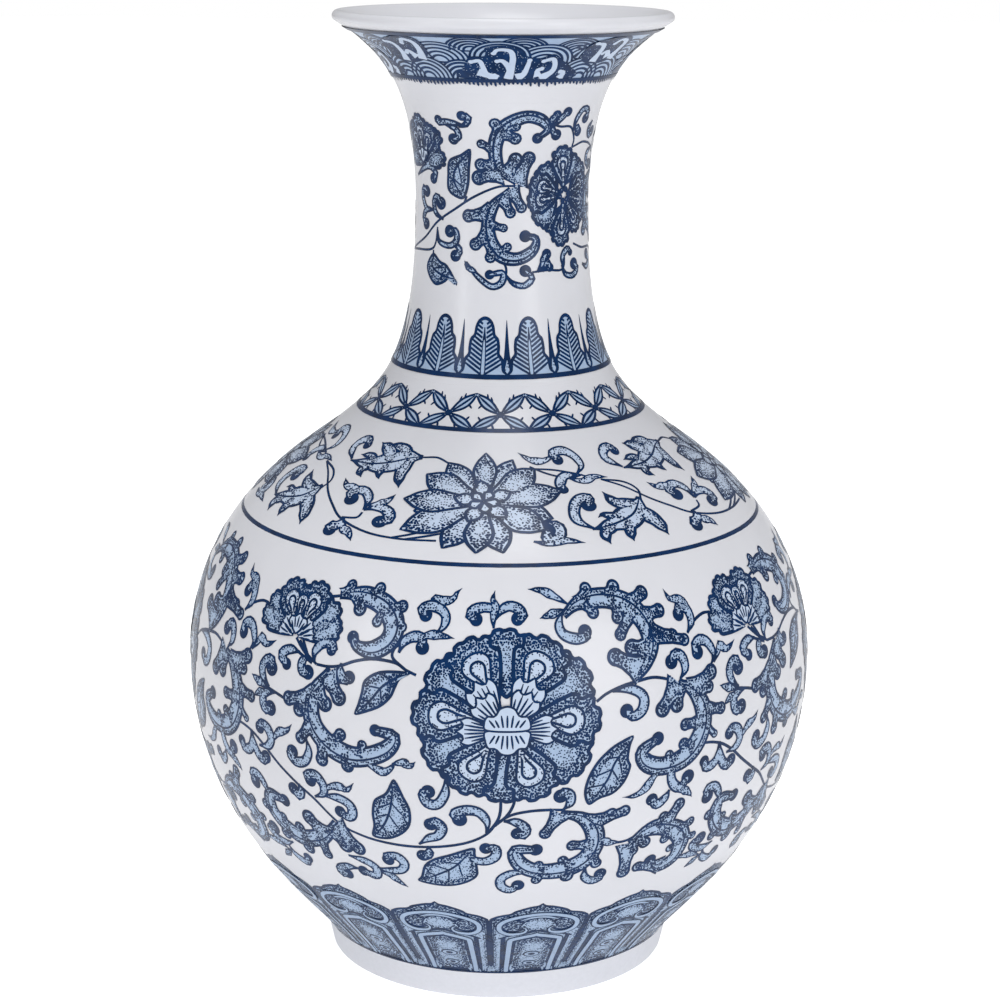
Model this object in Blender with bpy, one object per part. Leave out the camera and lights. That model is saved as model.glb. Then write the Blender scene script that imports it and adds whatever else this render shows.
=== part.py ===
"""Porcelain bottle vase, built as it is made: five turned sections luted together, and eight printed bands.

Metres, +Z up. The origin is the centre of the foot's resting face, and +Z is the axis of the wheel.
The outer wall is one chain of four cubic curves, from the foot joint to the lip. The inner wall is that
chain set in by the wall thickness. Each section is turned from its own closed outline. Neighbouring
sections meet in a half-lap whose gap is the slip that lutes them.
"""

import math

import bmesh
import bpy
from mathutils import Vector
from mathutils.geometry import interpolate_bezier

# Driving sizes of the outer wall: radius and height of each anchor of the curve.
FOOT_JOINT = (0.0664, 0.0113)
EQUATOR = (0.1171, 0.1154)
SHOULDER = (0.0620, 0.2043)
WAIST = (0.0317, 0.2872)
LIP = (0.0610, 0.3523)

# How the wall leaves or passes those anchors: angles in degrees above the horizontal.
FOOT_RISE = 57.0
SHOULDER_RISE = 39.5
LIP_RISE = 31.7

# Lengths of the curve's handles, below and above each anchor.
FOOT_HANDLE = 0.018
EQUATOR_HANDLES = (0.0593, 0.0556)
SHOULDER_HANDLES = (0.0183, 0.0215)
WAIST_HANDLES = (0.0604, 0.0496)
LIP_HANDLE = 0.0130

# Walls, floor and foot ring. The lip thickens to the full wall over the blend's height.
WALL = 0.0045
LIP_WALL = 0.0040
LIP_BLEND = 0.0022
FLOOR_TOP = 0.0165
SPIGOT_BOTTOM = 0.0080
FOOT_BASE_RADIUS = 0.0642
FOOT_TOP_RADIUS = 0.0660
FOOT_INNER_RADIUS = 0.0570
FOOT_CHAMFER = 0.0010

# Luted joints: the height of each seam on the outside, the height of the lap, and the slip's gap.
EQUATOR_SEAM = EQUATOR[1]
NECK_SEAM = 0.2256
MOUTH_SEAM = 0.3256
LAP = 0.0050
SLIP = 0.0003

# Printed bands: node name, lowest and highest height on the outer wall.
BANDS = (
    ("foot_lappet_print", 0.0116, 0.0510),
    ("body_scroll_print", 0.0556, 0.1685),
    ("shoulder_line_print", 0.1732, 0.1748),
    ("shoulder_lotus_print", 0.1768, 0.2068),
    ("lattice_print", 0.2108, 0.2240),
    ("plantain_leaf_print", 0.2276, 0.2512),
    ("neck_scroll_print", 0.2576, 0.3245),
    ("rim_wave_print", 0.3322, 0.3508),
)
PRINT_THICKNESS = 0.0003

# Facets: steps round the axis, points on each curve of the chain, and the tallest step between rows.
STEPS = 36
CURVE_POINTS = 60
OUTER_ROW = 0.0095
INNER_ROW = 0.0160
LIP_STEPS = 5

# Linear colours of the fired body and of the cobalt.
PORCELAIN_COLOUR = (0.78, 0.78, 0.80, 1.0)
BISCUIT_COLOUR = (0.74, 0.72, 0.70, 1.0)
COBALT_COLOUR = (0.03, 0.09, 0.22, 1.0)


def clear_scene():
    for old in list(bpy.data.objects):
        bpy.data.objects.remove(old, do_unlink=True)


def material(name, colour, roughness):
    made = bpy.data.materials.new(name)
    made.use_nodes = True
    shader = made.node_tree.nodes["Principled BSDF"]
    shader.inputs["Base Color"].default_value = colour
    shader.inputs["Roughness"].default_value = roughness
    shader.inputs["Metallic"].default_value = 0.0
    return made


def rising(angle):
    """The direction, in radius and height, that leaves the axis at this angle above the horizontal."""
    return Vector((math.cos(math.radians(angle)), math.sin(math.radians(angle))))


def outer_chain():
    """The outer wall from the foot joint to the lip, as points of radius and height."""
    foot, equator, shoulder, waist, lip = map(Vector, (FOOT_JOINT, EQUATOR, SHOULDER, WAIST, LIP))
    up = Vector((0.0, 1.0))
    inward = rising(180.0 - SHOULDER_RISE)
    spans = (
        (foot, foot + FOOT_HANDLE * rising(FOOT_RISE), equator - EQUATOR_HANDLES[0] * up, equator),
        (equator, equator + EQUATOR_HANDLES[1] * up, shoulder - SHOULDER_HANDLES[0] * inward, shoulder),
        (shoulder, shoulder + SHOULDER_HANDLES[1] * inward, waist - WAIST_HANDLES[0] * up, waist),
        (waist, waist + WAIST_HANDLES[1] * up, lip - LIP_HANDLE * rising(LIP_RISE), lip),
    )
    chain = [foot]
    for start, handle, far_handle, end in spans:
        chain += interpolate_bezier(start, handle, far_handle, end, CURVE_POINTS)[1:]
    return [Vector((p[0], p[1])) for p in chain]


def offset(chain, distance):
    """The chain moved along its normals: outwards for a positive distance, and inwards for a negative one."""
    moved = []
    for i, point in enumerate(chain):
        along = chain[min(i + 1, len(chain) - 1)] - chain[max(i - 1, 0)]
        moved.append(point + distance * Vector((along.y, -along.x)).normalized())
    return moved


def radius_at(chain, height):
    for low, high in zip(chain, chain[1:]):
        if low.y <= height <= high.y:
            share = (height - low.y) / (high.y - low.y)
            return low.x + share * (high.x - low.x)
    return chain[0].x if height < chain[0].y else chain[-1].x


def rows(bottom, top, step, kept=()):
    """Heights from bottom to top, with every kept height between them, and no two further apart than step."""
    fixed = [bottom, *sorted(h for h in kept if bottom < h < top), top]
    heights = [bottom]
    for low, high in zip(fixed, fixed[1:]):
        count = math.ceil((high - low) / step)
        heights += [low + (high - low) * k / count for k in range(1, count + 1)]
    return heights


def turned(name, outline, finish, closed=True):
    """Turns an outline of (radius, height) points about the axis into one closed solid."""
    bm = bmesh.new()
    verts = [bm.verts.new((radius, 0.0, height)) for radius, height in outline]
    pairs = list(zip(verts, verts[1:]))
    if closed:
        pairs.append((verts[-1], verts[0]))
    edges = [bm.edges.new(pair) for pair in pairs]
    bmesh.ops.spin(
        bm,
        geom=verts + edges,
        cent=(0.0, 0.0, 0.0),
        axis=(0.0, 0.0, 1.0),
        angle=2.0 * math.pi,
        steps=STEPS,
        use_merge=True,
    )
    bmesh.ops.remove_doubles(bm, verts=bm.verts, dist=1e-6)
    bmesh.ops.recalc_face_normals(bm, faces=bm.faces)
    mesh = bpy.data.meshes.new(name)
    bm.to_mesh(mesh)
    bm.free()
    mesh.shade_smooth()
    mesh.set_sharp_from_angle(angle=math.radians(35.0))
    mesh.materials.append(finish)
    made = bpy.data.objects.new(name, mesh)
    bpy.context.scene.collection.objects.link(made)
    return made


class Wall:
    """The vase's wall: its outer and inner chains, and the outline of any stretch of it."""

    def __init__(self):
        self.outer = outer_chain()
        self.inner = offset(self.outer, -WALL)
        self.print_back = offset(self.outer, SLIP)
        self.print_face = offset(self.outer, SLIP + PRINT_THICKNESS)
        self.limits = [h for _, low, high in BANDS for h in (low, high)]

    def outer_rows(self, bottom, top):
        return [(radius_at(self.outer, h), h) for h in rows(bottom, top, OUTER_ROW, self.limits)]

    def inner_rows(self, bottom, top):
        return [(radius_at(self.inner, h), h) for h in rows(bottom, top, INNER_ROW)]

    def lap_radius(self, seam):
        """Where the lap's cylinder stands in the wall: midway between the faces that it has to clear."""
        heights = (seam, seam + LAP)
        inside = max(radius_at(self.inner, h) for h in heights)
        outside = min(radius_at(self.outer, h) for h in heights)
        return (inside + outside) / 2.0

    def tongue(self, seam):
        """The lower section's end at a seam, from its outside to its inside: the inner half stands up."""
        cheek = self.lap_radius(seam) - SLIP / 2.0
        return [(cheek, seam - SLIP / 2.0), (cheek, seam + LAP - SLIP / 2.0)]

    def skirt(self, seam):
        """The upper section's end at a seam, from its inside to its outside: the outer half hangs down."""
        cheek = self.lap_radius(seam) + SLIP / 2.0
        return [(cheek, seam + LAP + SLIP / 2.0), (cheek, seam + SLIP / 2.0)]

    def between_seams(self, low_seam, high_seam):
        """The outline of a section with a skirt below and a tongue above."""
        outside = self.outer_rows(low_seam + SLIP / 2.0, high_seam - SLIP / 2.0)
        inside = self.inner_rows(low_seam + LAP + SLIP / 2.0, high_seam + LAP - SLIP / 2.0)
        return outside + self.tongue(high_seam) + inside[::-1] + self.skirt(low_seam)

    def printed(self, bottom, top):
        """The outline of a printed band: a thin skin that stands just off the wall."""
        heights = rows(bottom, top, OUTER_ROW, self.limits)
        face = [(radius_at(self.print_face, h), h) for h in heights]
        back = [(radius_at(self.print_back, h), h) for h in heights]
        return face + back[::-1]


def make_foot_ring(biscuit):
    """The turned ring that the vase stands on. It takes the body's spigot and carries the body on its top."""
    top = FOOT_JOINT[1] - SLIP
    outline = [
        (FOOT_INNER_RADIUS + FOOT_CHAMFER, 0.0),
        (FOOT_BASE_RADIUS - FOOT_CHAMFER, 0.0),
        (FOOT_BASE_RADIUS, FOOT_CHAMFER),
        (FOOT_TOP_RADIUS, top),
        (FOOT_INNER_RADIUS, top),
        (FOOT_INNER_RADIUS, FOOT_CHAMFER),
    ]
    return turned("foot_ring", outline, biscuit)


def make_lower_body(wall, porcelain):
    """The lower half of the belly with the vase's floor, whose underside is a spigot in the foot ring."""
    spigot_radius = FOOT_INNER_RADIUS - SLIP
    inner_corner = radius_at(wall.inner, FLOOR_TOP)
    outline = [(0.0, SPIGOT_BOTTOM), (spigot_radius, SPIGOT_BOTTOM), (spigot_radius, FOOT_JOINT[1])]
    outline += wall.outer_rows(FOOT_JOINT[1], EQUATOR_SEAM - SLIP / 2.0)
    outline += wall.tongue(EQUATOR_SEAM)
    outline += wall.inner_rows(FLOOR_TOP, EQUATOR_SEAM + LAP - SLIP / 2.0)[:0:-1]
    outline += [(inner_corner, FLOOR_TOP), (0.0, FLOOR_TOP)]
    return turned("lower_body", outline, porcelain, closed=False)


def make_mouth(wall, porcelain):
    """The flared mouth, whose lip is rolled over in a half circle."""
    lip = Vector(LIP)
    across = Vector((-rising(LIP_RISE).y, rising(LIP_RISE).x))
    centre = lip + across * LIP_WALL / 2.0
    start = math.radians(LIP_RISE - 90.0)
    roll = []
    for k in range(1, LIP_STEPS + 1):
        angle = start + math.pi * k / LIP_STEPS
        point = centre + Vector((math.cos(angle), math.sin(angle))) * LIP_WALL / 2.0
        roll.append(tuple(point))
    inside_top = roll[-1][1] - LIP_BLEND
    outside = wall.outer_rows(MOUTH_SEAM + SLIP / 2.0, LIP[1])
    inside = wall.inner_rows(MOUTH_SEAM + LAP + SLIP / 2.0, inside_top)
    return turned("flared_mouth", outside + roll + inside[::-1] + wall.skirt(MOUTH_SEAM), porcelain)


def main():
    clear_scene()
    porcelain = material("porcelain", PORCELAIN_COLOUR, 0.35)
    biscuit = material("biscuit", BISCUIT_COLOUR, 0.70)
    cobalt = material("cobalt", COBALT_COLOUR, 0.35)
    wall = Wall()
    make_foot_ring(biscuit)
    make_lower_body(wall, porcelain)
    turned("shoulder", wall.between_seams(EQUATOR_SEAM, NECK_SEAM), porcelain)
    turned("neck", wall.between_seams(NECK_SEAM, MOUTH_SEAM), porcelain)
    make_mouth(wall, porcelain)
    for name, low, high in BANDS:
        turned(name, wall.printed(low, high), cobalt)


main()
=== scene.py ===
"""Blue and white porcelain bottle vase: turned and glazed sections, and eight bands of printed cobalt.

Each band is first laid out flat, as a printer lays out a transfer: x in millimetres round the wall, y in
millimetres up it, measured along the wall's own curve from the foot joint. The flat sheets are then
wrapped on the wall and repeated round it. Within a sheet, a level says what lies over what.
"""

import math

import bmesh
import bpy
import numpy as np
from bpy.props import FloatProperty, FloatVectorProperty, IntProperty, PointerProperty
from bpy.types import Operator, Panel, PropertyGroup
from mathutils import Matrix, Vector
from mathutils.geometry import interpolate_bezier


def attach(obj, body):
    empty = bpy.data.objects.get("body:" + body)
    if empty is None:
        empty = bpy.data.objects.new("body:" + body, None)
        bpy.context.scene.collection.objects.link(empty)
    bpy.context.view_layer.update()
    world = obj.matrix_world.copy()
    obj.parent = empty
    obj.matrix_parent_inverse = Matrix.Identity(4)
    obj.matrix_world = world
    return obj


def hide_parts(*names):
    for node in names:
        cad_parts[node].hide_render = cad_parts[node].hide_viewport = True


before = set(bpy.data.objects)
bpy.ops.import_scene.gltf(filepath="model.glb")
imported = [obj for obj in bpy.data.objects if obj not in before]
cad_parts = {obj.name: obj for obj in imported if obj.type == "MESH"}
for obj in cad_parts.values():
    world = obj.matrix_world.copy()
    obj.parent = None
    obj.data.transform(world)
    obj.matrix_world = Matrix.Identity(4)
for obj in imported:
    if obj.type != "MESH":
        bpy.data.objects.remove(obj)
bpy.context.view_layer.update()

bl_info = {
    "name": "Porcelain Bottle Vase",
    "version": (1, 0, 0),
    "blender": (4, 5, 0),
    "location": "View3D > Sidebar > Vase",
    "description": "Builds a blue and white porcelain bottle vase with printed bands",
    "category": "Add Mesh",
}

MM = 0.001
BODY = "root"


def linear(code):
    """A linear colour with alpha from an sRGB hex code."""
    channels = [int(code[i : i + 2], 16) / 255.0 for i in (1, 3, 5)]
    curved = [c / 12.92 if c <= 0.04045 else ((c + 0.055) / 1.055) ** 2.4 for c in channels]
    return (*curved, 1.0)


# ---------------------------------------------------------------- settings


def anchor(name, description, radius, height):
    """A setting that holds the radius and the height, in metres, of a place on the wall."""
    return FloatVectorProperty(
        name=name, description=description, size=2, unit="LENGTH", default=(radius, height)
    )


def tint(name, description, code):
    """A setting that holds a colour."""
    return FloatVectorProperty(
        name=name, description=description, size=4, subtype="COLOR", default=linear(code)
    )


class VaseWall(PropertyGroup):
    """The curve of the outer wall: where it passes, and how."""

    foot: anchor("Foot Joint", "Radius and height where the wall leaves the foot ring", 0.0664, 0.0113)
    equator: anchor("Equator", "Radius and height of the widest part of the belly", 0.1171, 0.1154)
    shoulder: anchor("Shoulder", "Radius and height where the wall turns to hollow", 0.0620, 0.2043)
    waist: anchor("Waist", "Radius and height of the narrowest part of the neck", 0.0317, 0.2872)
    lip: anchor("Lip", "Radius and height of the outer edge of the mouth", 0.0610, 0.3523)
    thickness: FloatProperty(
        name="Thickness", description="Thickness of the wall", unit="LENGTH", default=0.0045
    )
    segments: IntProperty(
        name="Segments", description="Facets round the turned pieces", default=288, min=36
    )


class VaseColours(PropertyGroup):
    """The colours of the fired vase and of the studio floor."""

    porcelain: tint("Porcelain", "Glazed white porcelain", "#DADBE1")
    cobalt: tint("Cobalt", "Full-strength cobalt line", "#002852")
    wash: tint("Wash", "Pale cobalt that bleeds between the lines", "#A2B7D3")
    bare: tint("Bare", "Glaze left bare inside the print", "#BDCCE2")
    floor: tint("Floor", "Paper that the vase stands on", "#F4F4F4")


class VaseSettings(PropertyGroup):
    """Everything a user would change on the vase."""

    wall: PointerProperty(type=VaseWall)
    colours: PointerProperty(type=VaseColours)


# ---------------------------------------------------------------- the wall

FOOT_RISE = 57.0
SHOULDER_RISE = 39.5
LIP_RISE = 31.7
FOOT_HANDLE = 0.018
EQUATOR_HANDLES = (0.0593, 0.0556)
SHOULDER_HANDLES = (0.0183, 0.0215)
WAIST_HANDLES = (0.0604, 0.0496)
LIP_HANDLE = 0.0130
CURVE_POINTS = 400


def rising(angle):
    """The direction, in radius and height, at this angle in degrees above the horizontal."""
    return Vector((math.cos(math.radians(angle)), math.sin(math.radians(angle))))


class Wall:
    """The outer wall's curve, in millimetres: its length, and its place and slope at any length."""

    def __init__(self, sizes):
        foot, equator, shoulder, waist, lip = (
            Vector(anchor) for anchor in (sizes.foot, sizes.equator, sizes.shoulder, sizes.waist, sizes.lip)
        )
        up = Vector((0.0, 1.0))
        inward = rising(180.0 - SHOULDER_RISE)
        spans = (
            (foot, foot + FOOT_HANDLE * rising(FOOT_RISE), equator - EQUATOR_HANDLES[0] * up, equator),
            (equator, equator + EQUATOR_HANDLES[1] * up, shoulder - SHOULDER_HANDLES[0] * inward, shoulder),
            (shoulder, shoulder + SHOULDER_HANDLES[1] * inward, waist - WAIST_HANDLES[0] * up, waist),
            (waist, waist + WAIST_HANDLES[1] * up, lip - LIP_HANDLE * rising(LIP_RISE), lip),
        )
        chain = [foot]
        for span in spans:
            chain += interpolate_bezier(*span, CURVE_POINTS)[1:]
        self.points = np.array([(p[0], p[1]) for p in chain]) / MM
        steps = np.diff(self.points, axis=0)
        self.lengths = np.concatenate([[0.0], np.cumsum(np.hypot(*steps.T))])
        slope = np.gradient(self.points, self.lengths, axis=0)
        self.normals = np.stack([slope[:, 1], -slope[:, 0]], axis=1)

    def at(self, along, out=0.0):
        """Radius and height at each length along the wall, moved out from it."""
        place = [
            np.interp(along, self.lengths, self.points[:, k])
            + out * np.interp(along, self.lengths, self.normals[:, k])
            for k in (0, 1)
        ]
        return place[0], place[1]

    def length_at(self, height):
        """How far along the wall this height, in metres, is reached."""
        return float(np.interp(height / MM, self.points[:, 1], self.lengths))

    def wrap(self, flat, reference):
        """Flat (x, y, out) points on the wall, in metres. x is true to size at the reference radius."""
        radius, height = self.at(flat[..., 1], flat[..., 2])
        turn = flat[..., 0] / reference
        place = (radius * np.sin(turn), -radius * np.cos(turn), height)
        return np.stack(place, axis=-1) * MM


# ---------------------------------------------------------------- materials


def add_node(tree, kind, values=None, links=None):
    """Adds a node with its input values and its links from other nodes' outputs."""
    node = tree.nodes.new(kind)
    for name, value in (values or {}).items():
        node.inputs[name].default_value = value
    for name, output in (links or {}).items():
        tree.links.new(output, node.inputs[name])
    return node


def new_material(name):
    """A material and its shader and coordinates: (material, tree, shader, object coordinates)."""
    made = bpy.data.materials.new(name)
    made.use_nodes = True
    tree = made.node_tree
    shader = tree.nodes["Principled BSDF"]
    place = add_node(tree, "ShaderNodeTexCoord")
    return made, tree, shader, place.outputs["Object"]


BLOTCH_ROUGHNESS = 0.55
BLEND_ENDS = (0.32, 0.68)


def blotches(tree, place, size, detail=3.0):
    """Soft noise whose blotches are this many millimetres across."""
    return add_node(
        tree,
        "ShaderNodeTexNoise",
        values={"Scale": 1.0 / (size * MM), "Detail": detail, "Roughness": BLOTCH_ROUGHNESS},
        links={"Vector": place},
    ).outputs["Fac"]


def blend_of(tree, factor, low, high):
    """A colour that runs from low to high as factor goes through the middle of its range."""
    ramp = add_node(tree, "ShaderNodeValToRGB", links={"Fac": factor})
    for stop, position, colour in zip(ramp.color_ramp.elements, BLEND_ENDS, (low, high)):
        stop.position = position
        stop.color = colour
    return ramp.outputs["Color"]


def shifted(colour, share):
    """The colour made lighter, or darker where share is negative, by a share of itself."""
    return (*(min(1.0, c * (1.0 + share)) for c in colour[:3]), 1.0)


GLAZE_IOR = 1.5
GLAZE_SHINE = 0.26
GLAZE_ROUGHNESS = (0.2, 0.27)
GLAZE_RIPPLE_MM = 7.0
GLAZE_RIPPLE_HEIGHT = 0.00001
GLAZE_RIPPLE_STRENGTH = 0.35
GLAZE_PATCH_MM = 18.0
FOOT_ROUGHNESS = (0.3, 0.42)
TRANSLUCENCY = 0.08
TRANSLUCENT_DEPTH = (0.002, 0.0018, 0.0016)


def glaze(tree, shader, place, rough=GLAZE_ROUGHNESS):
    """The clear glaze that covers everything: a soft shine, with the faint ripple of a fired surface."""
    ripple = blotches(tree, place, GLAZE_RIPPLE_MM, detail=1.0)
    bump = add_node(
        tree,
        "ShaderNodeBump",
        values={"Strength": GLAZE_RIPPLE_STRENGTH, "Distance": GLAZE_RIPPLE_HEIGHT},
        links={"Height": ripple},
    )
    tree.links.new(bump.outputs["Normal"], shader.inputs["Normal"])
    matt = add_node(
        tree,
        "ShaderNodeMapRange",
        values={"To Min": rough[0], "To Max": rough[1]},
        links={"Value": blotches(tree, place, GLAZE_PATCH_MM)},
    )
    tree.links.new(matt.outputs["Result"], shader.inputs["Roughness"])
    shader.inputs["IOR"].default_value = GLAZE_IOR
    shader.inputs["Specular IOR Level"].default_value = GLAZE_SHINE
    shader.inputs["Metallic"].default_value = 0.0


def make_porcelain(colours):
    """Hard-paste porcelain under clear glaze: a cool white that drifts very slightly round the vase."""
    made, tree, shader, place = new_material("glazed_porcelain")
    white = tuple(colours.porcelain)
    drift = blend_of(tree, blotches(tree, place, 45.0), shifted(white, -0.03), shifted(white, 0.02))
    tree.links.new(drift, shader.inputs["Base Color"])
    shader.inputs["Subsurface Weight"].default_value = TRANSLUCENCY
    shader.inputs["Subsurface Radius"].default_value = TRANSLUCENT_DEPTH
    glaze(tree, shader, place)
    return made


def make_foot_painted_light(colours):
    """The foot ring: the same body under a thinner, duller glaze, with its colour lightened as painted
    light for the bright light that falls on the foot.
    """
    made, tree, shader, place = new_material("foot_porcelain_painted_light")
    # The lift of 0.20 is painted light: the foot's colour is made lighter to stand for the light that falls
    # on it.
    white = shifted(tuple(colours.porcelain), 0.20)
    grain = blend_of(tree, blotches(tree, place, 1.6), shifted(white, -0.04), white)
    tree.links.new(grain, shader.inputs["Base Color"])
    glaze(tree, shader, place, rough=FOOT_ROUGHNESS)
    return made


def make_print(name, colour, spread, size):
    """A cobalt tone under the glaze. It gathers and thins in blotches of this many millimetres."""
    made, tree, shader, place = new_material(name)
    tone = blend_of(tree, blotches(tree, place, size), shifted(colour, -spread), shifted(colour, spread))
    tree.links.new(tone, shader.inputs["Base Color"])
    glaze(tree, shader, place)
    return made


def material(name):
    """The vase's material of this name, made the first time it is asked for."""
    if name in bpy.data.materials:
        return bpy.data.materials[name]
    colours = bpy.context.scene.porcelain_vase.colours
    if name == "glazed_porcelain":
        return make_porcelain(colours)
    if name == "foot_porcelain_painted_light":
        return make_foot_painted_light(colours)
    prints = {
        # Full-strength cobalt: nearly black-blue where it pools, and clearer blue where the line is thin.
        "cobalt_line": (colours.cobalt, 0.30, 5.0),
        # Cobalt that bled into the glaze: a pale, slightly cloudy blue.
        "cobalt_wash": (colours.wash, 0.05, 4.0),
        # Bare glaze inside the print, tinted by the blue around it.
        "bare_glaze": (colours.bare, 0.03, 4.0),
    }
    colour, spread, size = prints[name]
    return make_print(name, tuple(colour), spread, size)


# ---------------------------------------------------------------- turned pieces


SHARP_ANGLE = 40.0


def finish_piece(bm, name, finish, replaced):
    """Makes a smooth object of the bmesh, and fastens it to the frame."""
    mesh = bpy.data.meshes.new(name)
    bm.to_mesh(mesh)
    bm.free()
    mesh.shade_smooth()
    mesh.materials.append(material(finish))
    piece = bpy.data.objects.new(name, mesh)
    bpy.context.scene.collection.objects.link(piece)
    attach(piece, BODY)
    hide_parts(*replaced)
    return piece


def turned_piece(name, outline, finish, closed=True):
    """Turns an outline of (radius, height) in millimetres into a solid that replaces this node."""
    bm = bmesh.new()
    verts = [bm.verts.new((radius * MM, 0.0, height * MM)) for radius, height in outline]
    pairs = list(zip(verts, verts[1:]))
    if closed:
        pairs.append((verts[-1], verts[0]))
    edges = [bm.edges.new(pair) for pair in pairs]
    bmesh.ops.spin(
        bm,
        geom=verts + edges,
        cent=(0.0, 0.0, 0.0),
        axis=(0.0, 0.0, 1.0),
        angle=2.0 * math.pi,
        steps=bpy.context.scene.porcelain_vase.wall.segments,
        use_merge=True,
    )
    bmesh.ops.remove_doubles(bm, verts=bm.verts, dist=1e-7)
    bmesh.ops.recalc_face_normals(bm, faces=bm.faces)
    piece = finish_piece(bm, f"turned_{name}", finish, [name])
    piece.data.set_sharp_from_angle(angle=math.radians(SHARP_ANGLE))
    return piece


# The sections' sizes in millimetres, as the frame has them.
FOOT_TOP = 11.29
FOOT_RADII = (57.0, 64.2, 66.0)
FOOT_EDGE = 1.0
SPIGOT_BOTTOM = 8.0
FLOOR_TOP = 16.5
FLOOR_FILLET = 6.0
SEAMS = (115.4, 225.6, 325.6)
LAP = 5.0
SEAM_GAP = 0.006
LIP_WALL = 3.98
LIP_BLEND = 2.2
ROW = 1.6
SEAM_ROW = 0.1
INNER_ROW = 3.0


def arc(centre, radius, start, end, steps):
    """Points on an arc in the plane of radius and height, with its angles in degrees."""
    angles = np.radians(np.linspace(start, end, steps + 1))
    return [(centre[0] + radius * math.cos(a), centre[1] + radius * math.sin(a)) for a in angles]


class Sections:
    """The outlines of the five turned sections, worked out from the wall."""

    def __init__(self, wall, thickness):
        self.wall = wall
        self.thickness = thickness
        self.inner = np.stack(wall.at(wall.lengths, -thickness), axis=1)

    def outside(self, low, high):
        """The outer face between two heights, with a very narrow row at each end to keep the shine even."""
        start, end = (self.wall.length_at(h * MM) for h in (low, high))
        count = math.ceil((end - start) / ROW)
        along = np.linspace(start, end, count + 1)
        along = np.concatenate([[start, start + SEAM_ROW], along[1:-1], [end - SEAM_ROW, end]])
        return list(zip(*self.wall.at(along)))

    def inside(self, low, high):
        """The inner face between two heights, upwards."""
        heights = np.linspace(low, high, math.ceil((high - low) / INNER_ROW) + 1)
        return [(float(np.interp(h, self.inner[:, 1], self.inner[:, 0])), h) for h in heights]

    def lap_radius(self, seam):
        """Midway between the faces that the lap's cylinder has to clear."""
        heights = (seam, seam + LAP)
        inner = max(np.interp(h, self.inner[:, 1], self.inner[:, 0]) for h in heights)
        outer = min(np.interp(h, self.wall.points[:, 1], self.wall.points[:, 0]) for h in heights)
        return float(inner + outer) / 2.0

    def tongue(self, seam):
        """The upright inner half of a lap, at the top of a section."""
        cheek = self.lap_radius(seam) - SEAM_GAP
        return [(cheek, seam), (cheek, seam + LAP)]

    def skirt(self, seam):
        """The outer half of a lap, at the bottom of a section, which clears the tongue by the seam gap."""
        cheek = self.lap_radius(seam) + SEAM_GAP
        return [(cheek, seam + LAP + SEAM_GAP), (cheek, seam + SEAM_GAP)]

    def middle(self, low_seam, high_seam):
        """A section with a skirt below and a tongue above."""
        outside = self.outside(low_seam + SEAM_GAP, high_seam)
        inside = self.inside(low_seam + LAP + SEAM_GAP, high_seam + LAP)
        return outside + self.tongue(high_seam) + inside[::-1] + self.skirt(low_seam)

    def foot_ring(self):
        """The ring that the vase stands on, with both edges of its base rounded."""
        inner, base, top = FOOT_RADII
        return [
            *arc((inner + FOOT_EDGE, FOOT_EDGE), FOOT_EDGE, 180.0, 270.0, 4),
            *arc((base - FOOT_EDGE, FOOT_EDGE), FOOT_EDGE, -90.0, 0.0, 4),
            (top + 0.35, FOOT_TOP - 0.5),
            (top + 0.38, FOOT_TOP),
            (inner, FOOT_TOP),
        ]

    def lower_body(self):
        """The lower belly with its floor, which meets the wall in a fillet, and the spigot under it."""
        spigot = FOOT_RADII[0] - SEAM_GAP * 5.0
        base = self.wall.points[0]
        inside = self.inside(FLOOR_TOP + FLOOR_FILLET, SEAMS[0] + LAP)
        corner = inside[0]
        floor = interpolate_bezier(
            Vector(corner),
            Vector((corner[0] - FLOOR_FILLET * 0.6, corner[1] - FLOOR_FILLET)),
            Vector((corner[0] - FLOOR_FILLET, FLOOR_TOP)),
            Vector((corner[0] - 2.5 * FLOOR_FILLET, FLOOR_TOP)),
            8,
        )
        return [
            (0.0, SPIGOT_BOTTOM),
            (spigot, SPIGOT_BOTTOM),
            (spigot, base[1]),
            *self.outside(base[1], SEAMS[0]),
            *self.tongue(SEAMS[0]),
            *inside[:0:-1],
            *[(p[0], p[1]) for p in floor],
            (0.0, FLOOR_TOP),
        ]

    def mouth(self):
        """The flared mouth, whose lip rolls over in a half circle."""
        lip = Vector(self.wall.points[-1])
        across = Vector((-rising(LIP_RISE).y, rising(LIP_RISE).x))
        centre = lip + across * LIP_WALL / 2.0
        roll = arc(centre, LIP_WALL / 2.0, LIP_RISE - 90.0, LIP_RISE + 90.0, 12)
        outside = self.outside(SEAMS[2] + SEAM_GAP, lip.y)
        inside = self.inside(SEAMS[2] + LAP + SEAM_GAP, roll[-1][1] - LIP_BLEND)
        return outside + roll[1:] + inside[::-1] + self.skirt(SEAMS[2])


# ---------------------------------------------------------------- drawing a print flat

# The tones of a print and their materials.
TONES = {"ink": "cobalt_line", "wash": "cobalt_wash", "bare": "bare_glaze"}
# How far the lowest coat stands off the wall, and how far each coat stands off the one below.
PROUD = 0.04
COAT = 0.02
# The outline of a shape, and what every outline and line is multiplied by.
EDGE = 0.9
WEIGHT = 1.2
# How finely shapes are divided: faces across a band, the widest ring of a patch, a band's longest step.
ACROSS = 4
RING = 2.2
SEGMENT = 1.5
DOT_SIDES = 6
# Dots lie in rows this far apart, as a share of the pitch, and stray from their places by up to this share.
ROW_PITCH = 0.87
STRAY = 0.34


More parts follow.
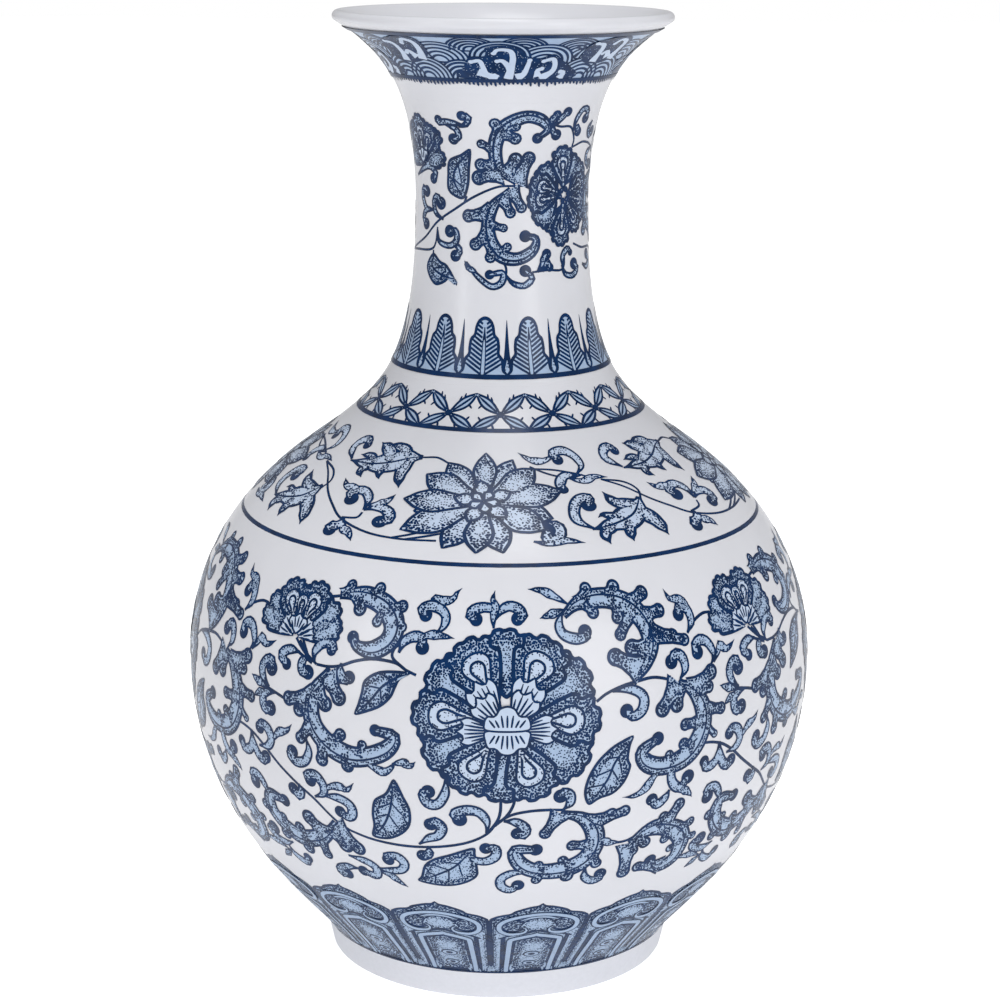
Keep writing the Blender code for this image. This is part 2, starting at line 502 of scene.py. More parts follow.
def smooth(points, steps, closed=False):
    """A smooth curve through the points, as steps + 1 places evenly spaced along it."""
    points = np.asarray(points, float)
    if len(points) == 2:
        return points[0] + np.linspace(0.0, 1.0, steps + 1)[:, None] * (points[1] - points[0])
    if closed:
        before, after, last = points[-1:], points[:2], points[:1]
    else:
        before, after, last = 2 * points[:1] - points[1:2], 2 * points[-1:] - points[-2:-1], points[-1:]
    ring = np.concatenate([before, points, after])
    share = np.linspace(0.0, 1.0, 12, endpoint=False)[:, None]
    spans = len(points) if closed else len(points) - 1
    fine = []
    for i in range(spans):
        a, b, c, d = ring[i : i + 4]
        fine.append(
            b
            + 0.5 * share * (c - a + share * (2 * a - 5 * b + 4 * c - d + share * (3 * (b - c) + d - a)))
        )
    fine = np.concatenate([*fine, last])
    gone = np.concatenate([[0.0], np.cumsum(np.hypot(*np.diff(fine, axis=0).T))])
    wanted = np.linspace(0.0, gone[-1], steps + 1)
    return np.stack([np.interp(wanted, gone, fine[:, k]) for k in (0, 1)], axis=1)


def signed_area(outline):
    """Twice the area inside a closed outline, positive where it runs anticlockwise."""
    x, y = outline.T
    return float((x * np.roll(y, -1) - y * np.roll(x, -1)).sum())


def length_of(points):
    """The length of a run of points."""
    return float(np.hypot(*np.diff(np.asarray(points, float), axis=0).T).sum())


def sideways(curve, closed=False):
    """The unit normals of a curve, to its left."""
    if closed:
        along = np.roll(curve, -1, axis=0) - np.roll(curve, 1, axis=0)
    else:
        along = np.gradient(curve, axis=0)
    along /= np.maximum(np.hypot(*along.T), 1e-9)[:, None]
    return np.stack([-along[:, 1], along[:, 0]], axis=1)


def widths_along(widths, steps):
    """Half-widths, evenly spaced along a curve, smoothed between the given ones."""
    places = np.linspace(0.0, len(widths) - 1.0, steps + 1)
    low = np.minimum(places.astype(int), len(widths) - 2)
    share = places - low
    share = share * share * (3.0 - 2.0 * share)
    widths = np.asarray(widths, float)
    return widths[low] * (1.0 - share) + widths[low + 1] * share


def inside_of(outline, points):
    """For each point, whether it lies in the closed outline, and how far it is from its edge."""
    a = outline
    b = np.roll(outline, -1, axis=0)
    px, py = points[:, :1], points[:, 1:]
    crosses = (a[:, 1] > py) != (b[:, 1] > py)
    run = np.where(np.abs(b[:, 1] - a[:, 1]) < 1e-12, 1e-12, b[:, 1] - a[:, 1])
    left = px < (b[:, 0] - a[:, 0]) * (py - a[:, 1]) / run + a[:, 0]
    inside = ((crosses & left) * np.sign(b[:, 1] - a[:, 1])).sum(axis=1) != 0
    step = b - a
    size = np.maximum((step**2).sum(axis=1), 1e-12)
    share = np.clip(((px - a[:, 0]) * step[:, 0] + (py - a[:, 1]) * step[:, 1]) / size, 0.0, 1.0)
    away = np.hypot(px - a[:, 0] - share * step[:, 0], py - a[:, 1] - share * step[:, 1])
    return inside, away.min(axis=1)


class Drawing:
    """A print laid out flat. It gathers strips, patches and dots of each tone."""

    def __init__(self, seed, dot=0.27, pitch=0.86):
        self.random = np.random.default_rng(seed)
        self.dot = dot
        self.pitch = pitch
        self.shapes = {tone: {} for tone in TONES}
        self.covers = []

    def height(self, level, coat):
        """How far a coat of a level stands off the wall."""
        return PROUD + COAT * (3.0 * level + coat)

    def keep(self, tone, kind, flat, level, coat):
        """Stores a shape: its template, and the flat place of each of the template's points."""
        out = np.full((*flat.shape[:-1], 1), self.height(level, coat))
        self.shapes[tone].setdefault(kind, []).append(np.concatenate([flat, out], axis=-1))

    def strip(self, spine, left, right, tone, level, coat):
        """A band along a spine, between half-widths to its left and to its right."""
        side = sideways(spine)
        across = ACROSS if max(np.max(left), np.max(right)) > 0.8 else 1
        share = np.linspace(-1.0, 1.0, across + 1)
        off = np.where(share[None] < 0, share[None] * right[:, None], share[None] * left[:, None])
        if across == 1:
            off = np.stack([-right, left], axis=1)
        flat = spine[:, None] + side[:, None] * off[..., None]
        self.keep(tone, ("strip", len(spine) - 1, across), flat, level, coat)

    def patch(self, outline, centre, tone, level, coat):
        """A filled outline, as a fan of rings round its centre."""
        reach = np.hypot(*(outline - np.asarray(centre, float)).T).max()
        rings = next((n for n in (1, 2, 4, 8) if reach / n <= RING), 12)
        share = np.linspace(0.0, 1.0, rings + 1)[:, None, None]
        flat = np.asarray(centre, float) + share * (outline - centre)
        self.keep(tone, ("patch", len(outline), rings), flat, level, coat)

    def line(self, points, width, level, taper=(0.5, 0.5), coat=2):
        """A printed line that thins to a share of its width at each end."""
        steps = steps_for(length_of(points), 0.9)
        spine = smooth(points, steps)
        half = WEIGHT * width / 2.0 * widths_along((taper[0], 1.0, 1.0, taper[1]), steps)
        self.strip(spine, half, half, "ink", level, coat)

    def stipple(self, outline, shade, level, tone="ink", dark=()):
        """Dots inside an outline. shade is (chance anywhere, chance at the edge, how far in that reaches).

        dark lists places (x, y, reach) towards which the dots crowd.
        """
        low, high = outline.min(axis=0), outline.max(axis=0)
        pitch = self.pitch
        columns, lines = (np.ceil((high - low) / (pitch, ROW_PITCH * pitch)) + 1).astype(int)
        x, y = np.meshgrid(np.arange(columns), np.arange(lines))
        points = np.stack([(x + 0.5 * (y % 2)).ravel(), (ROW_PITCH * y).ravel()], axis=1) * pitch + low
        points += self.random.uniform(-STRAY, STRAY, points.shape) * pitch
        inside, away = inside_of(outline, points)
        chance = shade[0] + shade[1] * np.exp(-((away / shade[2]) ** 2))
        for cx, cy, reach in dark:
            gap = np.hypot(points[:, 0] - cx, points[:, 1] - cy)
            chance = chance + np.exp(-((gap / reach) ** 2))
        luck = self.random.uniform(0.0, 1.0, len(points))
        kept = inside & (luck < chance) & (away > 0.1)
        size = self.dot * (0.75 + 0.95 * np.clip(chance - 0.3, 0.0, 1.0))[kept]
        corners = np.radians(np.arange(DOT_SIDES) * 360.0 / DOT_SIDES)
        ring = np.stack([np.cos(corners), np.sin(corners)], axis=1)
        flat = points[kept][:, None] + size[:, None, None] * ring[None]
        for dot in flat:
            self.keep(tone, ("dot", DOT_SIDES, 0), dot, level, 2)

    def ribbon(self, points, widths, level, shade=None, dark=(), edge=EDGE, midrib=None):
        """An outlined band along a curve: the ink under, the fill over it, and dots on the fill."""
        steps = steps_for(length_of(points), SEGMENT)
        spine = smooth(points, steps)
        half = widths_along(widths, steps)
        self.strip(spine, half, half, "ink", level, 0)
        side = sideways(spine) * half[:, None]
        self.covers.append((level, np.concatenate([spine + side, (spine - side)[::-1]])))
        inner = half - edge * WEIGHT
        shown = np.flatnonzero(inner > 0.12)
        if len(shown) < 3:
            return
        first, last = shown[0], shown[-1]
        cut = spine[first : last + 1]
        inner = np.maximum(inner[first : last + 1], 0.1)
        inner[0] = inner[-1] = 0.08
        place = np.linspace(0.0, len(cut) - 1.0, steps + 1)
        grid = np.arange(len(cut))
        cut = np.stack([np.interp(place, grid, cut[:, k]) for k in (0, 1)], axis=1)
        inner = np.interp(place, grid, inner)
        self.strip(cut, inner, inner, "wash", level, 1)
        side = sideways(cut) * inner[:, None]
        outline = np.concatenate([cut + side, (cut - side)[::-1]])
        if shade:
            self.stipple(outline, shade, level, dark=dark)
        if midrib is not None:
            rib = cut + sideways(cut) * (inner * midrib)[:, None]
            ends = widths_along((0.15, 0.4, 0.4, 0.15), steps)
            self.strip(rib, ends, ends, "ink", level, 2)

    def blob(self, points, level, fill="wash", shade=None, dark=(), edge=EDGE, centre=None):
        """An outlined patch inside a smooth closed curve through the points."""
        around = length_of([*points, points[0]])
        count = max(12, steps_for(around, 1.2))
        outline = smooth(points, count, closed=True)[:-1]
        if signed_area(outline) < 0.0:
            outline = outline[::-1]
        centre = outline.mean(axis=0) if centre is None else np.asarray(centre, float)
        self.patch(outline, centre, "ink", level, 0)
        self.covers.append((level, outline))
        if fill is None:
            return
        inner = outline + sideways(outline, closed=True) * edge * WEIGHT
        self.patch(inner, centre, fill, level, 1)
        if shade:
            self.stipple(inner, shade, level, dark=dark)

    def knob(self, x, y, radius, level):
        """A dark ball at the end of a curl, with a few pale specks where the print is open."""
        outline = disc(x, y, radius)
        self.patch(outline, (x, y), "ink", level, 0)
        specks = disc(x, y, radius * 0.62)
        self.stipple(specks, (0.16, 0.0, 1.0), level, tone="wash")

    def drop_hidden_dots(self):
        """Leaves out the dots that a shape on a higher level covers."""
        for kinds in self.shapes.values():
            dots = kinds.get(("dot", DOT_SIDES, 0), [])
            if not dots:
                continue
            rings = np.stack(dots)
            middles, heights = rings[..., :2].mean(axis=1), rings[:, 0, 2]
            hidden = np.zeros(len(dots), bool)
            for level, outline in self.covers:
                within = ((middles > outline.min(axis=0)) & (middles < outline.max(axis=0))).all(axis=1)
                under = np.flatnonzero(within & (heights < self.height(level, 0)))
                if len(under):
                    inside, away = inside_of(outline, middles[under])
                    hidden[under[inside & (away > 2.0 * self.dot)]] = True
            dots[:] = [dot for dot, gone in zip(dots, hidden) if not gone]


def steps_for(length, segment):
    """A number of steps along a curve, from a few sizes, so that shapes of one size share a template."""
    for steps in (6, 12, 24, 48, 96):
        if length / steps <= segment:
            return steps
    return 192


def disc(x, y, radius, count=24):
    """The outline of a disc."""
    turn = np.radians(np.arange(count) * 360.0 / count)
    return np.stack([x + radius * np.cos(turn), y + radius * np.sin(turn)], axis=1)


# ---------------------------------------------------------------- the printer's motifs


def out_from(base, angle, reach, side=0.0):
    """The place this far from a base at an angle in degrees, and this far to the left of that line."""
    turn = math.radians(angle)
    along, across = np.array((math.cos(turn), math.sin(turn))), np.array((-math.sin(turn), math.cos(turn)))
    return np.asarray(base, float) + reach * along + side * across


def curl(d, points, knob, level=1, fat=1.9):
    """A curled tendril: a stem that swells, turns and ends in a dark ball."""
    widths = (0.5, fat, fat * 1.15, fat * 0.9)
    ends = [(*knob[:2], knob[2] * 2.0)]
    d.ribbon([*points, knob[:2]], widths, level, shade=(0.12, 0.7, 0.6), dark=ends, edge=0.68)
    d.knob(knob[0], knob[1], knob[2] * 1.1, level)


def flame(d, points, fat=1.5, level=1):
    """A tongue that runs out to a dark point."""
    tip = points[-1]
    widths = (0.4, fat * 0.8, fat * 1.25, fat * 0.75, 0.07)
    d.ribbon(points, widths, level, shade=(0.35, 0.8, 0.6), dark=[(*tip, 4.5)], edge=0.5)


def finger(d, curve, x, y, r, level, shade):
    """A rounded lobe that leaves a scroll's body and ends in a stippled tip."""
    near = int(np.hypot(*(curve - (x, y)).T).argmin())
    root = curve[max(0, near - len(curve) // 24)]
    steps = 6
    spine = smooth([root, (x, y)], steps)
    half = widths_along((r * 2.0, r * 1.3, r * 0.95, r * 1.0), steps)
    d.strip(spine, half, half, "ink", level, 0)
    inner = half - EDGE * WEIGHT
    d.strip(spine, inner, inner, "wash", level, 1)
    side = sideways(spine) * inner[:, None]
    d.stipple(np.concatenate([spine + side, (spine - side)[::-1]]), shade, level, dark=[(x, y, r * 1.9)])
    tip = out_from((x, y), math.degrees(math.atan2(*(np.array((x, y)) - root)[::-1])), r * 0.4)
    d.blob(disc(x, y, r * 1.08, 12), level, shade=shade, dark=[(*tip, r * 1.6)], edge=r * 0.36)


def acanthus(d, spine, lobes, knob, widths=(1.6, 3.8, 4.3, 3.6, 1.9), level=1):
    """A scroll of acanthus: a curved body with lobes on both sides, which ends in a curl."""
    curve = smooth(spine, 96)
    for x, y, r in lobes:
        finger(d, curve, x, y, r, level, (0.3, 1.1, 0.9))
    ends = [(*knob[:2], knob[2] * 1.6)]
    bend = 1.0 if signed_area(np.array(spine, float)) < 0.0 else -1.0
    d.ribbon([*spine, knob[:2]], widths, level, shade=(0.12, 1.2, 1.2), dark=ends, midrib=0.42 * bend)
    d.knob(*knob, level)


def leaf(d, outline, midrib, level=1, veins=3, shade=(0.42, 1.4, 1.9)):
    """A serrated leaf with its midrib and side veins."""
    d.blob(outline, level, shade=shade)
    d.line(midrib, 0.75, level)
    curve = smooth(midrib, 24)
    side = sideways(curve)
    edge = smooth(outline, 96, closed=True)
    for k in range(1, veins + 1):
        at = int(24 * k / (veins + 1.5)) + 2
        for hand in (-1.0, 1.0):
            onward = (curve[at] - curve[at - 2]) / max(length_of(curve[at - 2 : at + 1]), 1e-6)
            heading = side[at] * hand + onward * 0.8
            heading /= np.hypot(*heading)
            reach = np.array([0.0, 1.0, 2.0, 3.0, 4.0, 5.0, 6.0, 7.0])
            probe = curve[at] + heading * reach[:, None]
            inside, away = inside_of(edge, probe)
            free = reach[inside & (away > 1.0)]
            if len(free) > 2:
                d.line([curve[at], curve[at] + heading * free[-1]], 0.55, level, taper=(0.9, 0.3))


# Outlines of petals, as rows of (share of the length, share of the half-width).
PETAL = (
    (0.0, 0.15), (0.3, 0.7), (0.5, 0.98), (0.6, 1.08), (0.69, 1.02), (0.72, 0.88), (0.83, 1.0),
    (0.92, 0.84), (0.92, 0.56), (0.99, 0.46), (1.02, 0.2), (1.0, 0.04),
)
PETAL_EDGE = 1.2
DROP = ((0.0, 0.1), (0.35, 0.55), (0.7, 1.0), (0.92, 0.75), (1.0, 0.3))


def tongue_outline(rows, base, angle, start, reach, half):
    """A symmetrical outline from rows of (share of the length, share of the half-width)."""
    right = [out_from(base, angle, start + a * (reach - start), -w * half) for a, w in rows]
    left = [out_from(base, angle, start + a * (reach - start), w * half) for a, w in rows]
    return [*right, *left[::-1]]


def petal(d, base, angle, start, reach, half, level, nested=True, shade=(0.46, 1.5, 2.8)):
    """A flower's petal: a stippled border round a pale band, with a drop in the middle."""
    d.blob(tongue_outline(PETAL, base, angle, start, reach, half), level, shade=shade, edge=PETAL_EDGE)
    if not nested:
        return
    size = reach - start
    band = tongue_outline(DROP, base, angle, start + size * 0.12, start + size * 0.78, half * 0.6)
    d.blob(band, level + 1, fill="bare", shade=(0.06, 0.9, 0.8), edge=0.75)
    drop = tongue_outline(DROP, base, angle, start + size * 0.24, start + size * 0.66, half * 0.32)
    d.blob(drop, level + 2, fill="bare", shade=(0.12, 0.8, 0.7), edge=0.8)


def shell(d, base, angle, reach, spread, level, ribs):
    """A small white petal with a three-lobed edge and fine ribs."""
    rows = ((-0.9, 0.3), (-1.05, 0.58), (-1.02, 0.84), (-0.66, 0.98), (-0.36, 0.91), (0.0, 1.04))
    rows = [*rows, *[(-a, r) for a, r in rows[-2::-1]], (0.0, 0.1)]
    outline = [out_from(base, angle + a * spread, r * reach) for a, r in rows]
    d.blob(outline, level, fill="bare", edge=0.65, centre=out_from(base, angle, reach * 0.66))
    for share in np.linspace(-0.72, 0.72, ribs):
        heading = angle + share * spread
        ends = (0.38, 0.74) if abs(share) > 0.5 else (0.42, 0.86)
        d.line([out_from(base, heading, reach * e) for e in ends], 0.62, level, taper=(0.8, 0.5))


# ---------------------------------------------------------------- the sheets

# Each band: the radius at which its sheet is true to size, and how often the sheet repeats round the vase.
BELLY = (117.0, 4)
LAPPETS = (85.0, 16)
SHOULDER = (70.0, 4)
LATTICE = (45.0, 16)
PLANTAIN = (45.0, 14)
NECK = (32.0, 2)
RIM = (45.0, 4)


def pitch_of(band):
    """How wide one repeat of a band is."""
    radius, repeats = band
    return radius * math.pi / (repeats / 2.0)


def flower_of_the_belly(d):
    """The large open lotus, with two rows of petals round a white heart."""
    heart = (3.0, 129.0)
    back = ((92, 31, 9.5), (149, 32, 9.5), (31, 33, 10), (209, 32, 9.5), (-33, 32.5, 10), (-94, 30, 9.5))
    for angle, reach, half in back:
        petal(d, heart, angle, 8.0, reach, half, 1, nested=False, shade=(0.6, 1.4, 3.1))
    front = ((121, 31, 9.5), (59, 31.5, 10), (178, 33, 9), (-2, 32.5, 9), (236, 31, 9), (-68, 31, 9))
    for angle, reach, half in front:
        petal(d, heart, angle, 7.0, reach, half, 2)
    base = (3.0, 125.0)
    shells = ((124, 20, 21, 5), (62, 20, 22, 5), (181, 17, 21, 5), (2, 17, 22, 5))
    shells += ((133, 15.5, 24, 6), (58, 15.5, 25, 6))
    for angle, reach, spread, level in shells:
        shell(d, base, angle, reach, spread, level, ribs=6 if reach > 16 else 5)
    cup = ((-4.6, 125.2), (-4.8, 121.5), (-3.6, 118.8), (-1.2, 118.6), (0.6, 116.9), (3, 116.3))
    cup += ((5.4, 116.9), (7.2, 118.6), (9.6, 118.8), (10.8, 121.5), (10.6, 125.2), (3, 125.8))
    d.blob(cup, 7, fill="bare", edge=0.6)
    cap = ((-4.4, 125.2), (-5.2, 128), (-4, 130.4), (-1.4, 130.6), (0.2, 133), (3, 134), (5.8, 133))
    cap += ((7.4, 130.6), (10, 130.4), (11.2, 128), (10.4, 125.2), (3, 124.6))
    d.blob(cap, 8, fill="bare", edge=0.6)
    for share in (-1.0, -0.66, -0.33, 0.0, 0.33, 0.66, 1.0):
        rise = 3.4 if abs(share) > 0.5 else 5.6
        root = 3 + 4.2 * share
        over = (3 + 6.2 * share, 126.4 + rise * 0.75)
        under = (3 + 6.0 * share, 123.6 - rise * 0.85)
        d.line([(root, 126.4), over], 0.62, 8, taper=(0.8, 0.5))
        d.line([(root, 123.6), under], 0.62, 7, taper=(0.8, 0.5))


def lotus(d, base):
    """The smaller lotus, seen from the side, with a ribbed cup."""
    side = ((20, 21, 5), (160, 21, 5), (38, 22, 5.5), (143, 21.5, 5.5))
    for angle, reach, half in side:
        petal(d, base, angle, 2.0, reach, half, 1, nested=False, shade=(0.5, 1.0, 1.0))
    for angle, reach, half in ((70, 22, 6.5), (116, 22, 6.5), (93, 19, 5)):
        petal(d, base, angle, 3.0, reach, half, 2)
    for angle, reach in ((45, 10), (135, 10), (15, 9.5), (165, 9.5)):
        shell(d, base, angle, reach, 18, 5, ribs=3)
    shell(d, base, 90, 8.5, 42, 6, ribs=5)


BODY_STEMS = (
    (
        (-114, 111), (-107, 113), (-99, 111.5), (-92, 107.5), (-85, 102), (-77, 96.5), (-70, 92), (-62, 85),
        (-56, 81.6),
    ),
    ((-56, 81.6), (-48, 79.6), (-38, 78.6), (-28, 78.8), (-18, 80.2), (-10, 82.5), (-4, 86), (-0.5, 90.5)),
    ((-4, 86), (-0.5, 91), (0.8, 95), (1, 100.5)),
    ((-1, 89.5), (3, 93.5), (5, 97), (6, 100.5)),
    ((0, 91), (5, 94), (11, 95.3), (17, 95.6), (23, 95.3)),
    ((34, 134), (38, 136.5), (44, 138.5), (50, 139.5), (56, 140), (62, 138.5), (66, 136.5)),
    ((-29, 143), (-33, 144.5), (-37, 146.5), (-45, 147), (-52, 145.5), (-58, 143), (-63, 142), (-68, 142)),
    ((-68, 142), (-73, 145), (-77, 149)),
    ((-70, 142.5), (-75, 146), (-79, 149.5)),
    ((-72, 144), (-76, 150)),
    ((-62, 141.5), (-65, 138), (-68, 133), (-70, 128)),
    ((-70, 142), (-76, 144.5), (-81, 146), (-86, 143.5)),
    ((-70, 165.5), (-63, 167), (-58, 169)),
    ((73, 153), (77, 156.5), (82, 158.5), (86, 158.5)),
    ((67, 137), (74, 136.5), (79, 138), (82, 141)),
    ((-91, 130), (-87, 129), (-83, 128), (-80, 127)),
    ((44, 79), (49, 79.5), (54, 82)),
    ((-33, 144.5), (-38, 148), (-38, 151), (-36, 153)),
)

# Each curl: the places its spine passes, then its ball as (x, y, radius).
BODY_CURLS = (
    (((-2, 163.5), (-1.5, 166), (-5, 167.3), (-9, 166.5), (-11, 164.5)), (-8.5, 163, 2.2)),
    (((-1.5, 163), (1, 166.5), (4, 167.8), (7.5, 166.5), (9, 164)), (6.8, 163.3, 2.2)),
    (((-36, 150), (-34.5, 154), (-31, 156), (-28, 155.5)), (-27.5, 152.5, 2.3)),
    (
        ((-23.5, 157), (-20.5, 160), (-19.8, 163.5), (-22, 166), (-26, 167), (-29.5, 165.5)),
        (-27.5, 163.8, 2.3),
    ),
    (((24, 166), (22, 161), (23.5, 157.5), (28, 155.8), (32, 156.5)), (31.5, 158, 2.4)),
    (((-69, 142.5), (-69.5, 146), (-67, 149.3), (-64, 150.2), (-61.5, 149)), (-62.5, 147.8, 1.9)),
    (((-57.5, 144), (-57.8, 141), (-55.8, 138.3)), (-54, 139.5, 2.2)),
    (((-72, 144.5), (-74.5, 141.5), (-73.5, 138.5)), (-71.3, 138.6, 2.4)),
    (((-76, 144.8), (-81, 145), (-84.5, 142.5)), (-81.5, 139.7, 2.0)),
    (((-89, 130), (-92.5, 133), (-93.5, 136.5), (-91, 139.5), (-88.5, 139.3)), (-88.5, 136.8, 2.6)),
    (((-86, 128.5), (-91, 127.5), (-92, 124.5), (-90.5, 121.5)), (-88, 122.5, 2.6)),
    (((-95, 107), (-90, 108), (-88, 111), (-89.5, 114.5), (-93, 115.8)), (-94, 114, 2.2)),
    (((-71, 115), (-70, 110.5), (-72, 106.5), (-76, 105.3), (-79, 107.5)), (-77.7, 108.7, 2.4)),
    (((-69.5, 93), (-65.5, 95), (-65, 98.5), (-68, 101.8), (-72, 101)), (-70.5, 99.3, 2.3)),
    (((-66, 94.3), (-59, 94.6), (-54.5, 92.5), (-54, 89), (-56, 87.3)), (-59, 89, 2.2)),
    (((-76.5, 96.5), (-75.5, 94), (-77, 91.5)), (-79.3, 93.8, 2.4)),
    (((84.5, 112), (85.5, 107), (88, 103), (91, 101.5)), (92, 103.3, 2.3)),
    (((-49, 66), (-44, 65.5), (-38, 66.5), (-36, 70), (-38.5, 73), (-43, 72.5)), (-42.5, 70.8, 2.3)),
    (((-57, 63.5), (-62, 63.5), (-66.5, 61.5), (-66.5, 58.5)), (-63.8, 59.5, 2.6)),
    (((-60, 69.5), (-52, 68), (-48.5, 65), (-50, 61.5)), (-55, 62.8, 2.3)),
    (((-93, 65), (-91, 61), (-86, 59)), (-83.5, 61.8, 2.2)),
    (((-29, 80), (-25, 83), (-21.5, 84.5), (-20, 88), (-22.5, 90.5)), (-24, 89, 2.3)),
    (((-25.5, 79), (-25.5, 76.5), (-27, 74.8)), (-28, 75, 2.3)),
    (((-4, 86.5), (-3.8, 91), (-6.5, 94.8), (-11, 95.6), (-15.5, 94)), (-13.5, 91.8, 2.5)),
    (((2, 91.5), (6.5, 91), (9.7, 88.5), (9.3, 85.5)), (7, 86.3, 2.2)),
    (((-13, 78.5), (-10, 75), (-5, 73.8), (-1, 76), (-0.8, 79.8)), (-4.3, 79.8, 2.2)),
    (((12, 68), (6, 68.3), (1.5, 65.5), (1.5, 61.5), (5, 59.5)), (8, 62, 2.4)),
    (((34, 69), (34.3, 64.5), (37.5, 62), (41, 62.7)), (40.8, 65, 2.4)),
    (((23, 95.5), (25.3, 98), (25, 101), (22.5, 102.2)), (21.8, 100.8, 2.4)),
    (((-18, 108), (-18.3, 102), (-21, 97.5), (-24.5, 97.5), (-26.3, 101)), (-24.3, 102, 2.3)),
    (((67, 138), (69.5, 141), (69, 145), (66, 146.8)), (64, 144.3, 2.4)),
    (((82, 141), (83.5, 144), (81.5, 148.3), (78, 149.8), (75, 148)), (76, 145.8, 2.4)),
    (((73, 153), (76, 157), (75, 161.5), (71.5, 162.5)), (70.8, 160, 2.3)),
    (((40, 137), (47, 137), (51.5, 134), (51, 129.5), (47.5, 127.5)), (45, 129.7, 2.3)),
    (((66, 110), (63.5, 105), (64.5, 100.5), (68, 98)), (71, 101.5, 2.6)),
    (((63.5, 98), (62, 95), (59, 93)), (56.5, 95.3, 2.2)),
    (((85, 112), (84.8, 107), (82.5, 104), (79, 103.5)), (78, 106, 2.0)),
    (((90, 87), (88.5, 91), (85.5, 94.5), (81.5, 94.3)), (82.5, 91, 2.6)),
    (((95, 68), (90, 66.5), (85, 67.5), (82, 70.5)), (85.5, 72, 2.8)),
)

BODY_FLAMES = (
    ((-2, 160), (-2.2, 164), (-1.5, 168), (-2.5, 170), (-1.6, 173.3)),
    ((-31, 155), (-25, 157), (-20, 156.8), (-16, 156.2)),
    ((-26, 166.5), (-25, 170), (-21, 169), (-17.5, 170), (-16.5, 172), (-14.5, 173.8)),
    ((26, 168), (20, 171.5), (16, 173.2), (11, 173.7)),
    ((25, 166), (20, 164.8), (15, 163.3)),
    ((-90, 129.5), (-95, 131), (-99, 132.5)),
    ((-90, 128.5), (-95, 126.5), (-97, 125)),
    ((-88, 110), (-84, 114.5), (-80, 116), (-77.5, 118.8)),
    ((-48, 111), (-44, 109), (-40, 107.8), (-37, 110), (-35.5, 112.5)),
    ((-37, 111), (-33, 112), (-30.5, 111), (-28.5, 112.8)),
    ((-65.5, 95.5), (-62, 98.5), (-57.5, 99.3), (-55, 98.5), (-52, 101.8)),
    ((-48, 64.5), (-43, 63), (-39.5, 60), (-36.5, 57.8)),
    ((83, 141), (86, 144.5), (87, 146.5), (90, 144.5), (92.5, 145), (95.5, 146.8)),
    ((76.5, 159), (75, 164), (71, 165.5), (68.5, 166), (67, 169.8)),
    ((66, 97), (70, 96.5), (73, 94.5), (74.3, 92.8)),
    ((62, 107), (57, 105), (53, 100), (49, 98), (44.5, 98)),
    ((75, 65.5), (83, 65), (90, 63)),
    ((-93, 63), (-97, 60), (-100, 58)),
    ((36, 80), (39, 81), (42, 79.5), (46, 79.5)),
)

